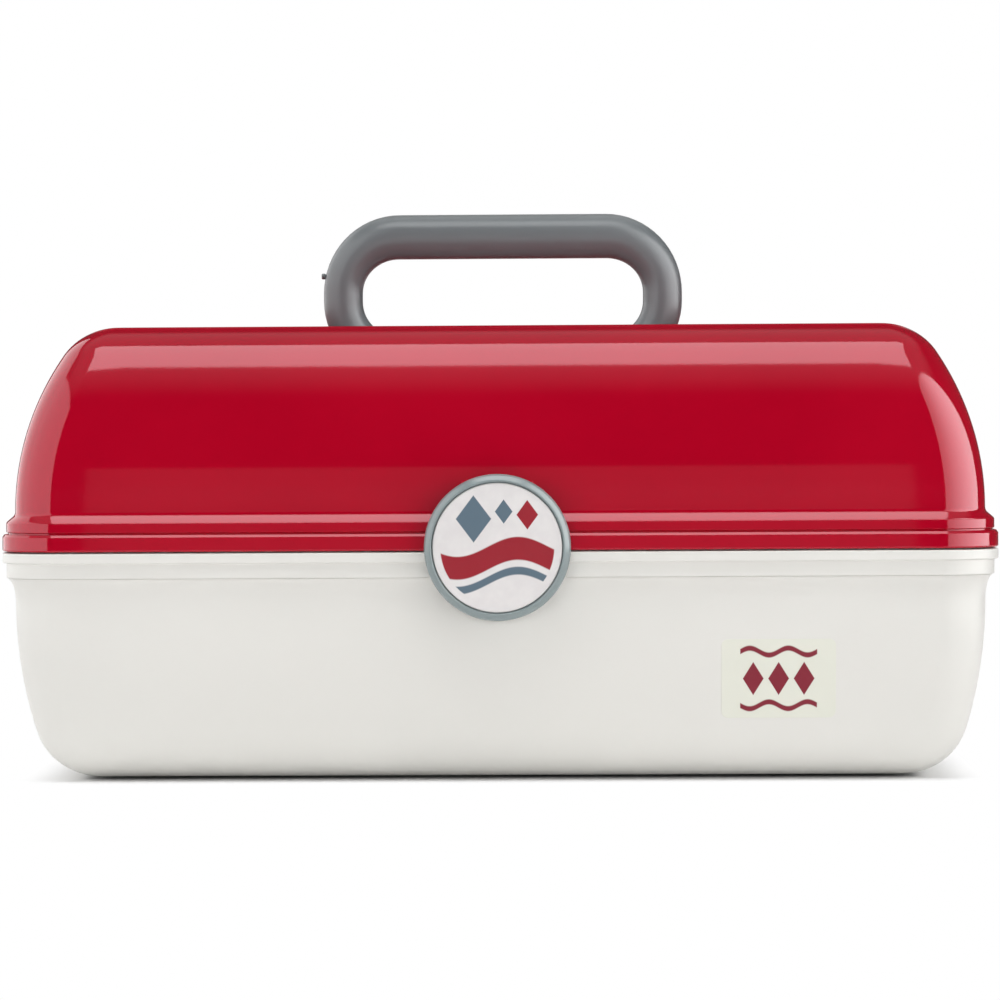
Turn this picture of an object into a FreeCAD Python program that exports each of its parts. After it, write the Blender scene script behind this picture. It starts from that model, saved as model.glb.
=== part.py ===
"""Makeup storage case with a carry handle, as a parametric assembly in millimetres.

Frame: +Z up, the front faces -Y, X runs along the case.  The origin lies on the
supporting surface, under the middle of the case.  Every size lives once in the sheet.
"""
import FreeCAD, Part
import math
import os
import Sketcher

doc = FreeCAD.newDocument("makeup_case")

# ---------------------------------------------------------------- driving dimensions
SIZES = [
    ("rim_width", 331.0, "overall width over the rim"),
    ("rim_depth", 195.0, "front to back over the rim"),
    ("seam_height", 77.0, "height of the joint between tub and lid"),
    ("seam_gap", 0.5, "gap between the closed rims"),
    ("lid_rise", 74.9, "height of the lid above the joint"),
    ("foot_height", 0.9, "height of the moulded feet"),
    ("foot_radius", 4.0, "radius of a foot"),
    ("foot_side_inset", 37.2, "feet from the side walls"),
    ("foot_end_inset", 41.2, "feet from the front and rear walls"),
    ("skin", 2.4, "wall of the moulded shells"),
    ("wall_inset", 4.3, "rim stands out from the wall by this much"),
    ("band_step", 1.3, "step between the two bands of a rim"),
    ("wall_corner", 15.5, "plan radius of the wall corners"),
    ("end_corner", 2.0, "plan radius of the corners where a wall has turned flat"),
    ("tub_band_outer", 3.4, "height of the tub's outer band"),
    ("tub_band_inner", 5.0, "height of the tub's second band"),
    ("tub_wall_start", 17.0, "wall starts this far below the joint"),
    ("tub_belly", 160.0, "radius of the tub's side curve"),
    ("tub_turn", 22.0, "radius of the tub's bottom turn"),
    ("lid_band_outer", 5.0, "height of the lid's outer band"),
    ("lid_band_inner", 4.6, "height of the lid's second band"),
    ("lid_wall_start", 13.5, "wall starts this far above the joint"),
    ("lid_belly", 98.0, "radius of the lid's side curve"),
    ("lid_turn", 21.3, "radius of the lid's shoulder"),
    ("tongue_height", 3.0, "rim tongue that enters the lid"),
    ("tongue_thickness", 1.3, "thickness of the tongue"),
    ("tongue_gap", 0.4, "clearance around the tongue"),
    ("fit_gap", 0.3, "clearance between neighbours that move"),
    ("running_fit", 0.05, "radial clearance of a pin in its hole"),
    ("overhang", 8.3, "hinge and latch stand out from the rim"),
    ("knuckle_radius", 4.0, "outer radius of a hinge knuckle"),
    ("knuckle_width", 11.4, "length of the lid's knuckle"),
    ("ear_width", 8.0, "length of each of the tub's knuckles"),
    ("hinge_pin_radius", 1.5, "radius of a hinge pin"),
    ("hinge_spread", 95.0, "hinges from the middle"),
    ("well_side_gap", 2.9, "clearance beside the handle in its well"),
    ("well_front_gap", 3.5, "clearance in front of the upright handle"),
    ("well_back_gap", 3.0, "clearance behind the folded handle"),
    ("well_floor_gap", 1.9, "clearance under the handle"),
    ("well_corner", 8.0, "corner radius of the well"),
    ("handle_span", 112.2, "handle width between leg centres"),
    ("handle_bar", 15.0, "thickness of the handle"),
    ("handle_shoulder", 20.0, "radius of the upper bends"),
    ("handle_curl", 15.0, "radius of the lower bends"),
    ("handle_leg", 6.5, "straight length of each leg"),
    ("handle_drop", 8.6, "handle axis below the top of the lid"),
    ("mount_half", 31.5, "half length of the handle mount"),
    ("mount_gap", 0.5, "gap between mount and handle end"),
    ("mount_depth", 15.0, "front to back size of the mount"),
    ("mount_below_top", 1.9, "top of the mount below the top of the lid"),
    ("mount_edge", 2.0, "rounding of the mount's top edges"),
    ("stub_radius", 4.5, "radius of the handle's pivot stub"),
    ("stub_length", 9.0, "length of the stub"),
    ("mount_screw_spread", 14.0, "mount screws from the middle"),
    ("screw_radius", 1.5, "shank radius of the screws"),
    ("screw_head_radius", 3.0, "head radius of the screws"),
    ("screw_head", 1.6, "head height of the screws"),
    ("mount_screw_length", 9.0, "grip of a mount screw in the mount"),
    ("latch_radius", 24.0, "outer radius of the latch"),
    ("latch_rise", 1.4, "latch centre above the joint"),
    ("latch_back_gap", 0.8, "latch in front of the rim"),
    ("latch_rim", 2.3, "wall of the latch rim"),
    ("latch_web", 3.0, "thickness of the latch plate"),
    ("latch_edge", 1.1, "rounding of the latch rim"),
    ("disc_radius", 21.4, "radius of the latch disc"),
    ("disc_thickness", 1.4, "thickness of the disc"),
    ("disc_recess", 0.4, "disc face below the ring"),
    ("disc_gap", 0.15, "groove around the disc"),
    ("latch_pivot_rise", 19.5, "pivot above the latch centre"),
    ("latch_pivot_out", 1.6, "pivot inside of the rim's outer face"),
    ("latch_lug_radius", 2.1, "radius of lugs around the latch pin"),
    ("latch_lug_half", 8.6, "half width of the latch's lug"),
    ("latch_ear_width", 3.0, "width of each of the lid's lugs"),
    ("latch_pin_radius", 1.0, "radius of the latch pin"),
    ("tongue_drop", 16.5, "catch nose below the latch centre"),
    ("nose_height", 3.0, "height of the latch nose"),
    ("nose_half", 7.0, "half width of the latch nose"),
    ("nose_gap", 0.5, "nose below the catch"),
    ("catch_out", 3.1, "catch stands out from the rim"),
    ("catch_height", 4.5, "height of the catch"),
    ("catch_half", 9.0, "half width of the catch"),
    ("nose_reach", 1.1, "nose tip in front of the rim"),
    ("label_width", 38.0, "width of the front label"),
    ("label_height", 26.5, "height of the front label"),
    ("label_thickness", 0.3, "thickness of the label"),
    ("label_gap", 0.1, "glue between label and tub"),
    ("label_side", 69.2, "label centre from the side wall"),
    ("label_z", 34.5, "label centre above the surface"),
    ("tray_side_room", 11.2, "room beside the tray for its brackets and arms"),
    ("tray_front_room", 4.3, "gap between tray and front wall"),
    ("tray_back_room", 28.8, "room behind the tray for its swing"),
    ("tray_top_drop", 3.0, "tray top below the joint"),
    ("tray_height", 27.0, "height of the tray"),
    ("tray_skin", 2.0, "wall of the tray"),
    ("tray_corner", 10.0, "corner radius of the tray"),
    ("divider", 1.6, "thickness of a divider"),
    ("divider_drop", 3.0, "divider top below the tray top"),
    ("lane_depth", 67.7, "front edge of the tray to the long divider"),
    ("front_cell_share", 0.41, "front dividers from the middle, as a share of the tray's half length"),
    ("pivot_fore", 51.8, "lid pivot in front of the hinge axis"),
    ("pivot_drop", 9.0, "lid pivot below the hinge axis"),
    ("link_fore", 50.0, "arm pivots in front of the lid pivots"),
    ("link_drop", 14.0, "arm pivots below the lid pivots"),
    ("side_gap", 0.8, "gap between tray and bracket"),
    ("bracket_thickness", 2.2, "thickness of a tray bracket"),
    ("bracket_half", 5.0, "half width of a bracket's foot eye"),
    ("bracket_rise", 20.0, "bracket top above the joint"),
    ("bracket_length", 27.0, "length of the bracket's upper plate"),
    ("bracket_plate", 13.0, "height of the bracket's upper plate"),
    ("bracket_screw_rise", 13.5, "bracket screws above the joint"),
    ("bracket_screw_pitch", 16.0, "spacing of the bracket screws"),
    ("boss_radius", 4.2, "radius of the bosses"),
    ("arm_thickness", 2.5, "thickness of a tray arm"),
    ("arm_eye", 4.6, "radius of an arm's end"),
    ("rivet_radius", 2.0, "radius of the pivot pins"),
    ("rivet_head_radius", 3.4, "head radius of the pivot pins"),
    ("rivet_head", 0.9, "head height of the pivot pins"),
    ("open_pivot_gap", 0.2, "radial clearance of the arm on the tray pin"),
    ("mirror_half", 95.0, "half length of the mirror frame"),
    ("mirror_rise", 49.5, "mirror pivot above the joint"),
    ("mirror_fore", 58.0, "mirror pivot in front of the middle"),
    ("mirror_depth", 86.0, "front to back size of the frame"),
    ("mirror_offset", 6.0, "frame edge behind its pivot"),
    ("mirror_thickness", 5.0, "thickness of the frame"),
    ("mirror_corner", 8.0, "corner radius of the frame"),
    ("mirror_border", 5.0, "width of the frame's border"),
    ("glass_thickness", 2.0, "thickness of the mirror glass"),
    ("glass_gap", 0.2, "clearance around the glass"),
    ("mirror_ear_radius", 3.2, "radius of the mirror's pivot ears"),
    ("mirror_ear_width", 4.0, "width of an ear and of a post"),
    ("mirror_post_inset", 17.0, "inner face of a mirror post from the frame's end"),
    ("mirror_pin_radius", 1.25, "radius of a mirror pin"),
    ("bite", 1.0, "depth by which a moulded feature enters its wall"),
]

sheet = doc.addObject("Spreadsheet::Sheet", "Dims")
for row, (alias, value, note) in enumerate(SIZES, start=1):
    sheet.set(f"A{row}", str(value))
    sheet.setAlias(f"A{row}", alias)
    sheet.set(f"B{row}", note)
doc.recompute()


class Size:
    """A size worked out from the sheet, kept as the expression that FreeCAD evaluates."""

    def __init__(self, text):
        self.text = str(text)

    def __add__(self, other):
        return Size(f"({self.text} + {other})")

    def __radd__(self, other):
        return Size(f"({other} + {self.text})")

    def __sub__(self, other):
        return Size(f"({self.text} - {other})")

    def __rsub__(self, other):
        return Size(f"({other} - {self.text})")

    def __mul__(self, other):
        return Size(f"({self.text} * {other})")

    def __rmul__(self, other):
        return Size(f"({other} * {self.text})")

    def __truediv__(self, other):
        return Size(f"({self.text} / {other})")

    def __neg__(self):
        return Size(f"(-1 * {self.text})")

    def __str__(self):
        return self.text


def cell(alias):
    return Size(f"Dims.{alias}")


def bind(item, **expressions):
    for name, expression in expressions.items():
        item.setExpression(name.replace("__", "."), str(expression))
    return item


# ---------------------------------------------------------------- shared places
skin = cell("skin")
seam = cell("seam_height")
half_gap = cell("seam_gap") / 2
rim_x = cell("rim_width") / 2
rim_y = cell("rim_depth") / 2
wall_x = rim_x - cell("wall_inset")
wall_y = rim_y - cell("wall_inset")
tub_top = seam - half_gap
lid_bottom = seam + half_gap
lid_top = seam + cell("lid_rise")
hinge_y = rim_y + cell("overhang") - cell("knuckle_radius")
handle_z = lid_top - cell("handle_drop")
latch_z = seam + cell("latch_rise")
latch_front = rim_y + cell("overhang")
latch_back = rim_y + cell("latch_back_gap")
latch_pivot_y = rim_y - cell("latch_pivot_out")
latch_pivot_z = latch_z + cell("latch_pivot_rise")
running_fit = cell("running_fit")


# ---------------------------------------------------------------- primitives
def place(item, x=0, y=0, z=0):
    return bind(item, Placement__Base__x=x, Placement__Base__y=y, Placement__Base__z=z)


def box(name, start, size):
    """Box from its low corner and its three lengths."""
    item = doc.addObject("Part::Box", name)
    bind(item, Length=size[0], Width=size[1], Height=size[2])
    return place(item, *start)


TURNS = {
    "X": FreeCAD.Rotation(FreeCAD.Vector(0, 1, 0), 90),
    "Y": FreeCAD.Rotation(FreeCAD.Vector(1, 0, 0), -90),
    "Z": FreeCAD.Rotation(),
}


def rod(name, axis, radius, start, length):
    """Cylinder that runs along +axis from its start."""
    item = doc.addObject("Part::Cylinder", name)
    item.Placement = FreeCAD.Placement(FreeCAD.Vector(), TURNS[axis])
    bind(item, Radius=radius, Height=length)
    return place(item, *start)


def fuse(name, *items):
    joined = doc.addObject("Part::MultiFuse", name)
    joined.Shapes = list(items)
    joined.Refine = True
    return joined


def cut(name, base, *tools):
    for number, tool in enumerate(tools, start=1):
        last = number == len(tools)
        result = doc.addObject("Part::Cut", name if last else f"{name}_cut_{number}")
        result.Base = base
        result.Tool = tool
        base = result
    return base


def sided(side, low, length):
    """Start of a length along X that begins at low on the right and is mirrored on the left."""
    return low if side > 0 else -(low + length)


SIDES = (("left", -1), ("right", 1))


# ---------------------------------------------------------------- sketches and features
def new_body(name):
    return doc.addObject("PartDesign::Body", name)


def new_sketch(body, name, plane, offset):
    sketch = body.newObject("Sketcher::SketchObject", name)
    support = [item for item in body.Origin.OriginFeatures if item.Role == plane][0]
    sketch.AttachmentSupport = [(support, "")]
    sketch.MapMode = "FlatFace"
    x, y, z = offset
    bind(sketch, AttachmentOffset__Base__x=x, AttachmentOffset__Base__y=y, AttachmentOffset__Base__z=z)
    return sketch


def rounded_rectangle(body, name, half_x, half_y, corner, z, x=0, y=0):
    """Rectangle with round corners, in a plane parallel to XY."""
    sketch = new_sketch(body, name, "XY_Plane", (x, y, z))
    wide, deep, round_ = 60.0, 40.0, 8.0
    vector = FreeCAD.Vector
    lines = [
        ((round_ - wide, -deep), (wide - round_, -deep)),
        ((wide, round_ - deep), (wide, deep - round_)),
        ((wide - round_, deep), (round_ - wide, deep)),
        ((-wide, deep - round_), (-wide, round_ - deep)),
    ]
    for start, end in lines:
        sketch.addGeometry(Part.LineSegment(vector(*start, 0), vector(*end, 0)))
    turns = [(1, -1, 270), (1, 1, 0), (-1, 1, 90), (-1, -1, 180)]
    for sign_x, sign_y, start in turns:
        centre = vector(sign_x * (wide - round_), sign_y * (deep - round_), 0)
        circle = Part.Circle(centre, vector(0, 0, 1), round_)
        first = math.radians(start)
        sketch.addGeometry(Part.ArcOfCircle(circle, first, first + math.pi / 2))
    constraints = []
    for number in range(4):
        arc = number + 4
        following = (number + 1) % 4
        constraints.append(Sketcher.Constraint("Tangent", number, 2, arc, 1))
        constraints.append(Sketcher.Constraint("Tangent", arc, 2, following, 1))
    constraints.append(Sketcher.Constraint("Horizontal", 0))
    constraints.append(Sketcher.Constraint("Vertical", 1))
    constraints.append(Sketcher.Constraint("Horizontal", 2))
    constraints.append(Sketcher.Constraint("Vertical", 3))
    constraints.append(Sketcher.Constraint("Equal", 4, 5))
    constraints.append(Sketcher.Constraint("Equal", 5, 6))
    constraints.append(Sketcher.Constraint("Equal", 6, 7))
    constraints.append(Sketcher.Constraint("Symmetric", 4, 3, 6, 3, -1, 1))
    sketch.addConstraint(constraints)
    for label, constraint in (
        ("corner", Sketcher.Constraint("Radius", 4, round_)),
        ("half_x", Sketcher.Constraint("DistanceX", -1, 1, 1, 1, wide)),
        ("half_y", Sketcher.Constraint("DistanceY", -1, 1, 2, 1, deep)),
    ):
        sketch.renameConstraint(sketch.addConstraint(constraint), label)
    bind(sketch, Constraints__half_x=half_x, Constraints__half_y=half_y, Constraints__corner=corner)
    return sketch


def loft(body, name, kind, sections):
    feature = body.newObject(kind, name)
    feature.Profile = sections[0]
    feature.Sections = sections[1:]
    feature.Ruled = False
    return feature


def side_lofts(body, name, kind, sections):
    """One loft for each arc, because a loft stays true only where its sections are evenly spaced."""
    loft(body, f"{name}_belly", kind, sections[:ARC_STEPS + 1])
    loft(body, f"{name}_turn", kind, sections[ARC_STEPS:])


def pad(body, name, sketch, length):
    feature = body.newObject("PartDesign::Pad", name)
    feature.Profile = sketch
    return bind(feature, Length=length)


def pocket(body, name, sketch, length, upward=True):
    feature = body.newObject("PartDesign::Pocket", name)
    feature.Profile = sketch
    feature.Reversed = upward
    return bind(feature, Length=length)


# ---------------------------------------------------------------- moulded shells
ARC_STEPS = 4
TURN_STEPS = 5
FLARE_ANGLES = (90, 60, 30, 0)


def side_curve(belly, turn, rise, offset):
    """Insets, heights and lean of the two arcs that run from the wall to the flat end face.

    The belly starts upright on the wall, and the turn ends flat at the full rise. The lean is 1
    where the wall is upright and 0 where it is flat.
    """
    junction = Size(f"asin(({rise} - {turn}) / ({belly} - {turn}))")
    points = []
    for step in range(ARC_STEPS + 1):
        angle = f"{junction} * {step} / {ARC_STEPS}"
        lean = Size(f"cos({angle})")
        reach = belly - offset
        points.append((belly - reach * lean, reach * Size(f"sin({angle})"), lean))
    centre_in = belly - (belly - turn) * Size(f"cos({junction})")
    centre_up = rise - turn
    for step in range(1, TURN_STEPS + 1):
        angle = f"{junction} + (90 deg - {junction}) * {step} / {TURN_STEPS}"
        lean = Size(f"cos({angle})")
        reach = turn - offset
        points.append((centre_in - reach * lean, centre_up + reach * Size(f"sin({angle})"), lean))
    return points


def shell_sections(body, prefix, points, start, direction, offset):
    """Outlines whose corners tighten as the wall leans over, as round a rolled corner."""
    sections = []
    end_corner = cell("end_corner")
    for number, (inset, rise, lean) in enumerate(points):
        corner = end_corner + (cell("wall_corner") - offset - end_corner) * lean
        level = start + rise if direction > 0 else start - rise
        name = f"{prefix}_{number}"
        sections.append(rounded_rectangle(body, name, wall_x - inset, wall_y - inset, corner, level))
    return sections


def flare_sections(body, prefix, start, height, direction):
    """Hollow quarter ellipse between the second band of the rim and the wall."""
    width = cell("wall_inset") - cell("band_step")
    sections = []
    for angle in FLARE_ANGLES:
        out = width - width * Size(f"cos({angle} deg)")
        drop = height * Size(f"sin({angle} deg)")
        level = start - drop if direction > 0 else start + drop
        corner = cell("wall_corner") + out
        name = f"{prefix}_{angle}"
        sections.append(rounded_rectangle(body, name, wall_x + out, wall_y + out, corner, level))
    return sections


def moulded_shell(prefix, direction, rim_level, outer_band, inner_band, wall_level, belly, turn, rise):
    """Hollow shell with a two-band rim; direction is +1 for the lid and -1 for the tub."""
    body = new_body(f"{prefix}_shell")
    nothing = Size(0)
    outer = side_curve(belly, turn, rise, nothing)
    side_lofts(
        body, f"{prefix}_outside", "PartDesign::AdditiveLoft",
        shell_sections(body, f"{prefix}_outline", outer, wall_level, direction, nothing),
    )
    bands = outer_band + inner_band
    band_end = rim_level + bands if direction > 0 else rim_level - bands
    flare = wall_level - band_end if direction > 0 else band_end - wall_level
    loft(
        body, f"{prefix}_flare", "PartDesign::AdditiveLoft",
        flare_sections(body, f"{prefix}_flare_outline", wall_level, flare, direction),
    )
    low = rim_level + outer_band if direction > 0 else rim_level - bands
    out = cell("wall_inset") - cell("band_step")
    inner_outline = rounded_rectangle(
        body, f"{prefix}_inner_band_outline", wall_x + out, wall_y + out, cell("wall_corner") + out, low,
    )
    pad(body, f"{prefix}_inner_band", inner_outline, inner_band)
    low = rim_level if direction > 0 else rim_level - outer_band
    out = cell("wall_inset")
    outer_outline = rounded_rectangle(
        body, f"{prefix}_outer_band_outline", wall_x + out, wall_y + out, cell("wall_corner") + out, low,
    )
    pad(body, f"{prefix}_outer_band", outer_outline, outer_band)
    if direction < 0:
        thick = cell("tongue_thickness")
        tongue_outline = rounded_rectangle(
            body, f"{prefix}_tongue_outline", wall_x - skin + thick, wall_y - skin + thick,
            cell("wall_corner") - skin + thick, rim_level,
        )
        pad(body, f"{prefix}_tongue", tongue_outline, cell("tongue_height"))
    return body


def hollow_out(body, prefix, direction, rim_level, wall_level, belly, turn, rise, past_rim):
    """Cut the inside: straight through the rim, then along the side curve."""
    inner = side_curve(belly, turn, rise, skin)
    side_lofts(
        body, f"{prefix}_inside", "PartDesign::SubtractiveLoft",
        shell_sections(body, f"{prefix}_inline", inner, wall_level, direction, skin),
    )
    low = rim_level - past_rim if direction > 0 else wall_level
    length = (wall_level - rim_level if direction > 0 else rim_level - wall_level) + past_rim
    outline = rounded_rectangle(
        body, f"{prefix}_mouth_outline", wall_x - skin, wall_y - skin, cell("wall_corner") - skin, low,
    )
    pocket(body, f"{prefix}_mouth", outline, length)


# ---------------------------------------------------------------- tub
tub_wall_level = seam - cell("tub_wall_start")
tub_rise = tub_wall_level - cell("foot_height")
tub_shell = moulded_shell(
    "tub", -1, tub_top, cell("tub_band_outer"), cell("tub_band_inner"),
    tub_wall_level, cell("tub_belly"), cell("tub_turn"), tub_rise,
)
hollow_out(
    tub_shell, "tub", -1, tub_top, tub_wall_level, cell("tub_belly"), cell("tub_turn"), tub_rise,
    cell("tongue_height") + cell("bite"),
)


def feet():
    for end, sign_x in SIDES:
        for row, sign_y in (("front", -1), ("rear", 1)):
            x = (wall_x - cell("foot_side_inset")) * sign_x
            y = (wall_y - cell("foot_end_inset")) * sign_y
            length = cell("foot_height") + cell("bite")
            yield rod(f"foot_{row}_{end}", "Z", cell("foot_radius"), (x, y, 0), length)


def knuckle(name, x, width, level, height):
    """Hinge barrel with the web that ties it to the rear of the rim."""
    reach = hinge_y - rim_y + cell("bite")
    barrel = rod(f"{name}_barrel", "X", cell("knuckle_radius"), (x, hinge_y, seam), width)
    web = box(f"{name}_web", (x, rim_y - cell("bite"), level), (width, reach, height))
    return fuse(name, barrel, web)


ear_start = cell("hinge_spread") - cell("knuckle_width") / 2 - cell("fit_gap") - cell("ear_width")
ear_pitch = cell("knuckle_width") + cell("ear_width") + cell("fit_gap") * 2
pin_length = ear_pitch + cell("ear_width")
web_height = cell("knuckle_radius") - half_gap


def tub_knuckles():
    for end, side in SIDES:
        for number in (0, 1):
            width = cell("ear_width")
            x = sided(side, ear_start + ear_pitch * number, width)
            yield knuckle(f"tub_knuckle_{end}_{number}", x, width, tub_top - web_height, web_height)


def hinge_bores(owner):
    for end, side in SIDES:
        radius = cell("hinge_pin_radius") + running_fit
        length = pin_length + cell("bite") * 2
        x = sided(side, ear_start - cell("bite"), length)
        yield rod(f"{owner}_hinge_bore_{end}", "X", radius, (x, hinge_y, seam), length)


# the four-bar that carries the tray: hinge axis, lid pivot, arm pivot on the tub, arm pivot on the tray
lid_pivot = (hinge_y - cell("pivot_fore"), seam - cell("pivot_drop"))
tray_pivot = (lid_pivot[0] - cell("link_fore"), lid_pivot[1] - cell("link_drop"))
tub_pivot = (hinge_y - cell("link_fore"), seam - cell("link_drop"))

inner_wall_x = wall_x - skin
inner_wall_y = wall_y - skin
tray_half_x = inner_wall_x - cell("tray_side_room")
bracket_x = tray_half_x + cell("side_gap")
bracket_out = bracket_x + cell("bracket_thickness")
arm_head_x = bracket_out + cell("fit_gap")
arm_x = arm_head_x + cell("rivet_head") + cell("fit_gap")
arm_out = arm_x + cell("arm_thickness")
boss_x = arm_out + cell("fit_gap")


def tub_bosses():
    for end, side in SIDES:
        length = inner_wall_x + cell("bite") - boss_x
        x = sided(side, boss_x, length)
        yield rod(f"arm_boss_{end}", "X", cell("boss_radius"), (x, *tub_pivot), length)


def tub_boss_bores():
    for end, side in SIDES:
        length = inner_wall_x - boss_x + cell("bite")
        x = sided(side, boss_x - cell("bite"), length)
        yield rod(f"arm_boss_bore_{end}", "X", cell("rivet_radius") + running_fit, (x, *tub_pivot), length)


catch_top = latch_z - cell("tongue_drop") + cell("nose_gap") + cell("catch_height")
catch = box(
    "latch_catch",
    (-cell("catch_half"), -(rim_y + cell("catch_out")), catch_top - cell("catch_height")),
    (cell("catch_half") * 2, cell("catch_out") + cell("wall_inset") + cell("bite"), cell("catch_height")),
)
tub_solid = fuse("tub_solid", tub_shell, catch, *feet(), *tub_knuckles(), *tub_bosses())
tub = cut("tub", tub_solid, *hinge_bores("tub"), *tub_boss_bores())

# ---------------------------------------------------------------- front label
# The label follows the tub's side curve: a thin slice of a ring about the axis of that curve.
label_x = wall_x - cell("label_side") - cell("label_width") / 2
label_axis = (cell("tub_belly") - wall_y, tub_wall_level)
label_outer = rod(
    "label_outer", "X", cell("tub_belly") + cell("label_gap") + cell("label_thickness"),
    (label_x, *label_axis), cell("label_width"),
)
label_inner = rod(
    "label_inner", "X", cell("tub_belly") + cell("label_gap"),
    (label_x - cell("bite"), *label_axis), cell("label_width") + cell("bite") * 2,
)
label_window = box(
    "label_window",
    (label_x, -(wall_y + cell("bite")), cell("label_z") - cell("label_height") / 2),
    (cell("label_width"), cell("tub_turn"), cell("label_height")),
)
label_ring = cut("label_ring", label_outer, label_inner)
front_label = doc.addObject("Part::Common", "front_label")
front_label.Base = label_ring
front_label.Tool = label_window

# ---------------------------------------------------------------- lid
lid_wall_level = seam + cell("lid_wall_start")
lid_curve_rise = lid_top - lid_wall_level
lid_shell = moulded_shell(
    "lid", 1, lid_bottom, cell("lid_band_outer"), cell("lid_band_inner"),
    lid_wall_level, cell("lid_belly"), cell("lid_turn"), lid_curve_rise,
)
hollow_out(
    lid_shell, "lid", 1, lid_bottom, lid_wall_level, cell("lid_belly"), cell("lid_turn"), lid_curve_rise,
    cell("bite"),
)
rabbet_out = cell("tongue_thickness") + cell("tongue_gap")
rabbet_outline = rounded_rectangle(
    lid_shell, "lid_rabbet_outline", wall_x - skin + rabbet_out, wall_y - skin + rabbet_out,
    cell("wall_corner") - skin + rabbet_out, lid_bottom,
)
pocket(lid_shell, "lid_rabbet", rabbet_outline, cell("tongue_height"))

bar_radius = cell("handle_bar") / 2
well_half_x = cell("handle_span") / 2 + bar_radius + cell("well_side_gap")
well_front = bar_radius + cell("well_front_gap")
well_back = (
    cell("handle_curl") + cell("handle_leg") + cell("handle_shoulder") + bar_radius + cell("well_back_gap")
)
well_half_y = (well_front + well_back) / 2
well_y = (well_back - well_front) / 2
well_floor = handle_z - bar_radius - cell("well_floor_gap")
well_depth = lid_top - well_floor
well_wall_outline = rounded_rectangle(
    lid_shell, "well_wall_outline", well_half_x + skin, well_half_y + skin, cell("well_corner") + skin,
    well_floor - skin, 0, well_y,
)
pad(lid_shell, "well_wall", well_wall_outline, well_depth)
well_outline = rounded_rectangle(
    lid_shell, "well_outline", well_half_x, well_half_y, cell("well_corner"), well_floor, 0, well_y,
)
pocket(lid_shell, "well", well_outline, well_depth + cell("bite"))


def lid_knuckles():
    for end, side in SIDES:
        x = sided(side, cell("hinge_spread") - cell("knuckle_width") / 2, cell("knuckle_width"))
        yield knuckle(f"lid_knuckle_{end}", x, cell("knuckle_width"), lid_bottom, web_height)


def latch_ears():
    """Two lugs above the rim that carry the latch pin."""
    for end, side in SIDES:
        width = cell("latch_ear_width")
        x = sided(side, cell("latch_lug_half") + cell("fit_gap"), width)
        radius = cell("latch_lug_radius")
        eye = rod(f"latch_ear_eye_{end}", "X", radius, (x, -latch_pivot_y, latch_pivot_z), width)
        reach = latch_pivot_y - wall_y + cell("bite") * 2
        start = (x, -latch_pivot_y, latch_pivot_z - radius)
        web = box(f"latch_ear_web_{end}", start, (width, reach, radius * 2))
        yield fuse(f"latch_ear_{end}", eye, web)


bracket_screw_y = (
    -(cell("bracket_screw_pitch") / 2) + lid_pivot[0],
    cell("bracket_screw_pitch") / 2 + lid_pivot[0],
)
bracket_screw_z = seam + cell("bracket_screw_rise")


def bracket_bosses():
    for end, side in SIDES:
        for number, y in enumerate(bracket_screw_y):
            length = inner_wall_x + cell("bite") - bracket_out
            start = (sided(side, bracket_out, length), y, bracket_screw_z)
            yield rod(f"bracket_boss_{end}_{number}", "X", cell("boss_radius"), start, length)


def bracket_screw_bores(owner):
    for end, side in SIDES:
        for number, y in enumerate(bracket_screw_y):
            length = inner_wall_x - bracket_out + cell("bite")
            x = sided(side, bracket_out - cell("bite"), length)
            radius = cell("screw_radius") + running_fit
            yield rod(f"{owner}_screw_bore_{end}_{number}", "X", radius, (x, y, bracket_screw_z), length)


mirror_z = seam + cell("mirror_rise")
mirror_post_x = cell("mirror_half") - cell("mirror_post_inset")
post_top = lid_top - skin + cell("bite")


def mirror_posts():
    """Posts that hang from the roof of the lid and carry the mirror pins."""
    for end, side in SIDES:
        width = cell("mirror_ear_width")
        x = sided(side, mirror_post_x, width)
        radius = cell("mirror_ear_radius")
        eye = rod(f"mirror_post_eye_{end}", "X", radius, (x, -cell("mirror_fore"), mirror_z), width)
        start = (x, -cell("mirror_fore") - radius, mirror_z)
        post = box(f"mirror_post_leg_{end}", start, (width, radius * 2, post_top - mirror_z))
        yield fuse(f"mirror_post_{end}", eye, post)


mirror_pin_start = mirror_post_x - cell("fit_gap")
mirror_pin_length = cell("mirror_ear_width") * 2 + cell("fit_gap") * 3


def mirror_bores(owner):
    for end, side in SIDES:
        radius = cell("mirror_pin_radius") + running_fit
        length = mirror_pin_length + cell("bite") * 2
        x = sided(side, mirror_pin_start - cell("bite"), length)
        yield rod(f"{owner}_mirror_bore_{end}", "X", radius, (x, -cell("mirror_fore"), mirror_z), length)


def mount_screw_places():
    for end, side in SIDES:
        yield end, cell("mount_screw_spread") * side


def mount_screw_bores(owner, radius, low, length):
    for end, x in mount_screw_places():
        yield rod(f"{owner}_mount_bore_{end}", "Z", radius, (x, 0, low), length)


latch_ear_end = cell("latch_lug_half") + cell("fit_gap") + cell("latch_ear_width")


def latch_bore(owner):
    length = latch_ear_end * 2 + cell("bite") * 2
    radius = cell("latch_pin_radius") + running_fit
    start = (-(latch_ear_end + cell("bite")), -latch_pivot_y, latch_pivot_z)
    return rod(f"{owner}_latch_bore", "X", radius, start, length)


lid_solid = fuse(
    "lid_solid", lid_shell, *lid_knuckles(), *latch_ears(), *bracket_bosses(), *mirror_posts(),
)
lid = cut(
    "lid", lid_solid, *hinge_bores("lid"), *bracket_screw_bores("lid"), *mirror_bores("lid"),
    latch_bore("lid"),
    *mount_screw_bores("lid", cell("screw_radius") + cell("fit_gap"), well_floor - skin - cell("bite"),
                       skin + cell("bite") * 2),
)

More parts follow.
